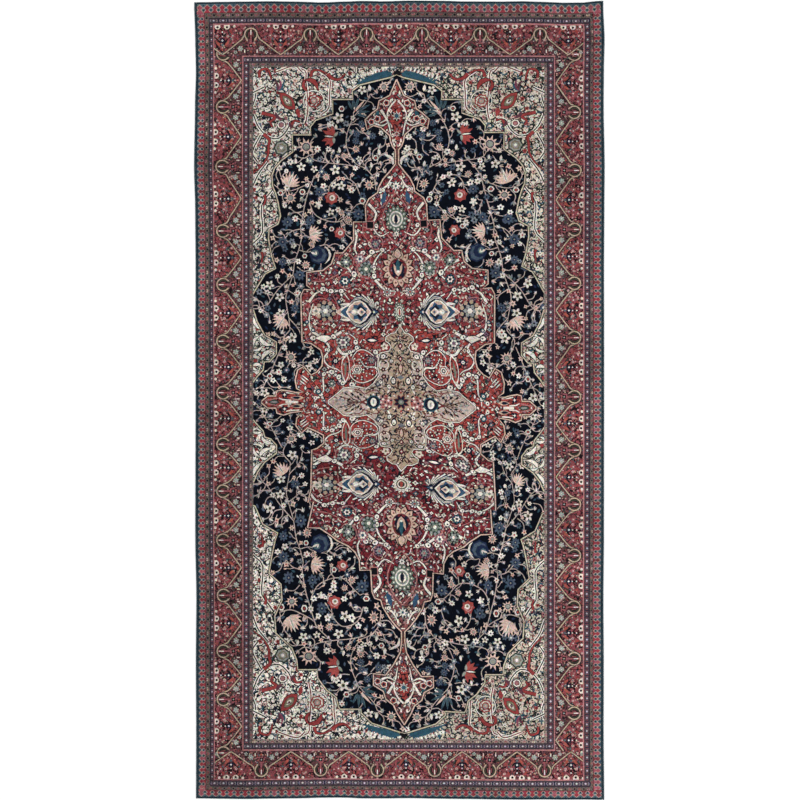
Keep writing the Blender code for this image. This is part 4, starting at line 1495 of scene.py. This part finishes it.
for along in (1, -1):
    for across in (1, -1):
        medallion.turn = quarter(across, along, MEDALLION_HEIGHTS)
        medallion.fill("ash", np.array([33, 33+12.8j, 43+15j, 56.5+13.5j, 61+9.2j, 71+1.2j, 71]))
        medallion.fill(
            "ash", np.array([
                12+49j, 20+48.6j, 21.6+42j, 22+34.5j, 20.5+27j, 26+19j, 33+13.8j, 24+9j, 16+18j, 12+26j,
            ]),
        )
        for place in strewn(
            np.array([0, *centre_quarter * 0.95]), 5.0, [(2, 9), (27, 9), (16, 7), (7+21j, 4), (17+33j, 5)],
        ):
            on_arm = place.real > 30
            dark = rng.choice(
                ["umber", "maroon", "slate", "tan"] if on_arm else ["umber", "black", "navy", "black"]
            )
            twig(medallion, place, rng.uniform(1.8, 2.4) if on_arm else rng.uniform(2.2, 3.0), dark,
                 rng.choice(["light", "cream", "grey", "maroon", dark, dark]))
        for route in (
            [36+0.5j, 39+1j, 42+4j, 47+7j], [42+0.8j, 47+3j, 52+7.5j], [47+0.8j, 52+3.2j, 58+5j],
            [35+0.4j, 53+0.4j],
        ):
            medallion.line("umber", np.array(route), 1.1, 0.7)
        medallion.line("maroon", smooth([20+8j, 24+12j, 30+10.8j, 36+8j, 40+11.5j, 46+12.8j], 3), 1.0)
        ring(medallion, "tan", 16.5+37j, 5.8, 0.9)
        ring(medallion, "light", 16.5+37j, 4.8, 0.8)
        for place, size, rim, petal in (
            (17+32.5j, 2.8, "black", "maroon"), (16.5+25.5j, 3.3, "black", "maroon"),
            (22.5+18j, 3.6, "navy", "slate"), (9+41j, 3.0, "navy", "light"),
        ):
            medallion.fill(rim, place + size * polar([1, 0.7] * 5))
            medallion.fill(petal, place + 0.66 * size * polar([1, 0.6] * 5))
            medallion.fill("cream" if petal != "light" else "navy", place + 0.26 * size * DIAMOND)
        for share, dye in ((1.0, "navy"), (0.66, "light")):
            medallion.fill(dye, 7.2 + 21.3j + share * (2.9 * np.real(ROUND) + 4.3j * np.imag(ROUND)))
        medallion.fill("navy", 7.4 + 22.3j + 0.9 * DIAMOND)
        for dye, root, tip, width in CENTRE_LEAVES:
            leaf(medallion, dye, root, tip, width)
        for place, size, heading in (
            (17+45.5j, 2.3, 2.6), (11.5+15.5j, 2.0, 1.2), (22+46j, 1.8, 2), (20+20j, 1.8, 0.6),
        ):
            eyed_leaf(medallion, place, size, heading)
for across in (1, -1):
    medallion.turn = quarter(across, 1)
    leaf(medallion, "green", 119, 131.5, 4.8)
    leaf(medallion, "grey", 121, 129, 2.4)
    medallion.fill("light", 132.5 + np.array([-1, -1j, 1, 1j]))
    medallion.line("light", np.array([101, 113.5]), 2.4)
    medallion.fill("pink", 15.5 + 7.6 * polar([1, 0.85] * 7))
    for reach, count, dyes in ((6.0, 11, ("coral", "light", "navy")), (3.4, 7, ("maroon", "light"))):
        for number in range(count):
            medallion.fill(
                dyes[number % len(dyes)],
                15.5 + reach * np.exp(2j * math.pi * number / count) + 1.3 * DIAMOND,
            )
    medallion.fill("navy", 15.5 + 1.3 * DIAMOND)
    medallion.fill("maroon", np.array([33 + 3.4j, 33 - 3.4j, 41]))
    for number in range(16):
        way = np.exp(2j * math.pi * number / 16)
        leaf(medallion, ("light", "navy")[number % 2], 27 + 5 * way, 27 + 9 * way, 2.3)
    for reach, dye in ((6.8, "teal"), (5.8, "navy")):
        medallion.fill(dye, 27 + reach * ROUND)
    medallion.fill("light", 27 + 3.0 * np.real(ROUND) + 4.2j * np.imag(ROUND))
    medallion.line("grey", np.array([27 - 2j, 27 + 2j]), 1.2)
for along in (1, -1):
    medallion.turn = quarter(1, along, MEDALLION_HEIGHTS)
    for height, size in ((56, 3.4), (43, 3.2), (64, 1.8), (11, 2.2)):
        for share, dye in ((1.0, "navy"), (0.6, "coral"), (0.3, "light")):
            medallion.fill(dye, 1j * height + share * size * np.array([-0.85, -1.15j, 0.85, 1.15j]))
    leaf(medallion, "umber", 39j, 27j, 5.4)
    leaf(medallion, "peach", 38j, 28.5j, 3.4)
    medallion.fill("slate", 1j * 24.5 + np.array([-3.6, -2.4j, 3.6, 2.4j]))
medallion.turn = quarter(1, 1)
for number in range(8):
    way = np.exp(2j * math.pi * (number + 0.5) / 8)
    leaf(medallion, "maroon", 1.5 * way, 8.0 * way, 4.2)
    leaf(medallion, "navy", 1.5 * way, 6.8 * way, 3.0)
    medallion.fill(("light", "coral")[number % 2], 9.2 * way * np.exp(1j * math.pi / 8) + 1.2 * DIAMOND)
medallion.fill("sage", 2.6 * DISC)
medallion.fill("grey", 1.3 * DIAMOND)
medallion.turn = None
rimmed(medallion, ("black", "light"), centre, (1.8, 0.9))
rimmed(medallion, ("black", "peach"), medallion_outline, (2.8, 1.3))
red_medallion = finish_pile("red_medallion", medallion)


# ---- Selvedges and end stitches ---------------------------------------------------------------
# A cord overcast with dark wool down each long side, and a thinner line of the same stitches across
# each end. Every turn of the yarn stands out a little, and slants the way it was wrapped.
SELVEDGE_WIDTH, SELVEDGE_HEIGHT = 0.013, 0.009
STITCH_WIDTH, STITCH_HEIGHT = 0.008, 0.007
CORD_FACES = 8
CORD_END = 0.001
WRAP = 0.006
WRAP_SLANT = 0.0032
JOIN = 0.0003


def overcast_yarn():
    """Dark blue-green wool wrapped in turns, worn paler here and there."""
    finish = Finish("overcast_yarn")
    fibre = finish.noise(0.004, detail=3.0, roughness=0.8)
    patch = finish.noise(0.05, detail=2.0)
    wool = finish.mix(patch, opaque("12222c"), opaque("24404c"))
    worn = finish.mix(finish.between(fibre * 0.6 + patch * 0.4, 0.52, 0.75), wool, opaque("6a6a68"))
    finish.set(Base_Color=worn, Roughness=0.82 + 0.12 * fibre, Normal=finish.bumped(fibre, 0.0008))
    finish.set(Sheen_Weight=0.15, Sheen_Roughness=0.5, Specular_IOR_Level=0.2)
    return finish.material


overcast_wool = overcast_yarn()


def overcast_cord(name, edge, outward, width, height):
    """A cord beside an edge of the carpet, wrapped from end to end."""
    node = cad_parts[name]
    ends = np.array([corner.co[:2] for corner in node.data.vertices])
    along = 1 if abs(outward.real) else 0
    low, high = ends[:, along].min() + CORD_END, ends[:, along].max() - CORD_END
    run = np.arange(low, high, WRAP / 2)
    edge = edge[edge[:, along].argsort()]
    beside = np.interp(run, edge[:, along], edge[:, 1 - along])
    spine = (beside + 1j * run if along else run + 1j * beside) + outward * (JOIN + width / 2)
    turn = math.pi / CORD_FACES * (2 * np.arange(CORD_FACES) + 1)
    swell = np.where(np.arange(len(run)) % 2, 1.0, 0.86)[:, None]
    side, rise = np.cos(turn) * swell, np.sin(turn) * swell
    eased = np.minimum(1, np.minimum(run - low, high - run) / 0.01)[:, None]
    slant = WRAP_SLANT * np.cos(turn) * eased
    flat = spine[:, None] + outward * side * width / 2 + (1j if along else 1) * slant
    top = height / 2 * (1 + rise / np.cos(math.pi / CORD_FACES))
    top = np.clip(top, 0, height)
    points = np.stack([flat.real, flat.imag, top], -1).reshape(-1, 3)
    first = np.arange(len(run) - 1)[:, None] * CORD_FACES
    k = np.arange(CORD_FACES)
    after = (k + 1) % CORD_FACES
    following = first + CORD_FACES
    faces = np.stack([first + k, first + after, following + after, following + k], -1).reshape(-1, 4)
    last = len(points) - CORD_FACES
    mesh = bpy.data.meshes.new(name + "_wrapped")
    mesh.from_pydata(points.tolist(), [], [*faces.tolist(), k[::-1].tolist(), (last + k).tolist()])
    mesh.materials.append(overcast_wool)
    mesh.polygons.foreach_set("use_smooth", [True] * len(mesh.polygons))
    cord = bpy.data.objects.new(name + "_wrapped", mesh)
    bpy.context.collection.objects.link(cord)
    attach(cord, "root")
    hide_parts(name)


overcast_cord("selvedge_left", rim_left, -1 + 0j, SELVEDGE_WIDTH, SELVEDGE_HEIGHT)
overcast_cord("selvedge_right", rim_right, 1 + 0j, SELVEDGE_WIDTH, SELVEDGE_HEIGHT)
overcast_cord("end_stitches_foot", rim_foot, -1j, STITCH_WIDTH, STITCH_HEIGHT)
overcast_cord("end_stitches_head", rim_head, 1j, STITCH_WIDTH, STITCH_HEIGHT)


# ---- Floor, light and camera ------------------------------------------------------------------
# A plain pale floor with the camera straight above it. A white sky lights the pile evenly from all
# round, and three large lamps add a soft light from one side each.
VIEW_ACROSS = 800 * SQUARE
VIEW_MIDDLE = (0.0047, 0.0014)
LENS = 85.0
SENSOR = 36.0
SOFTBOXES = ((-6.0, 4.0), (6.0, 4.0), (0.0, -8.0))
SOFTBOX_HEIGHT = 7.0

bpy.ops.mesh.primitive_plane_add(size=60.0)
floor = bpy.context.object
floor.name = "floor"
floor_finish = Finish("floor_paint")
floor_finish.set(Base_Color=(0.9, 0.9, 0.9, 1.0), Roughness=0.9)
floor.data.materials.append(floor_finish.material)

world = bpy.data.worlds.new("studio")
world.use_nodes = True
sky = world.node_tree.nodes["Background"]
sky.inputs["Color"].default_value = (1.0, 1.0, 1.0, 1.0)
sky.inputs["Strength"].default_value = 0.75
bpy.context.scene.world = world

for x, y in SOFTBOXES:
    softbox = bpy.data.lights.new("softbox", "AREA")
    softbox.size = 5.0
    softbox.energy = 260.0
    lamp = bpy.data.objects.new("softbox", softbox)
    lamp.location = (x, y, SOFTBOX_HEIGHT)
    lamp.rotation_euler = (math.atan2(math.hypot(x, y), SOFTBOX_HEIGHT), 0.0, math.atan2(x, -y))
    bpy.context.collection.objects.link(lamp)

lens = bpy.data.cameras.new("camera")
lens.lens = LENS
lens.sensor_width = SENSOR
camera = bpy.data.objects.new("camera", lens)
camera.location = (*VIEW_MIDDLE, VIEW_ACROSS * LENS / SENSOR)
bpy.context.collection.objects.link(camera)
bpy.context.scene.camera = camera
bpy.context.scene.view_settings.view_transform = "Standard"
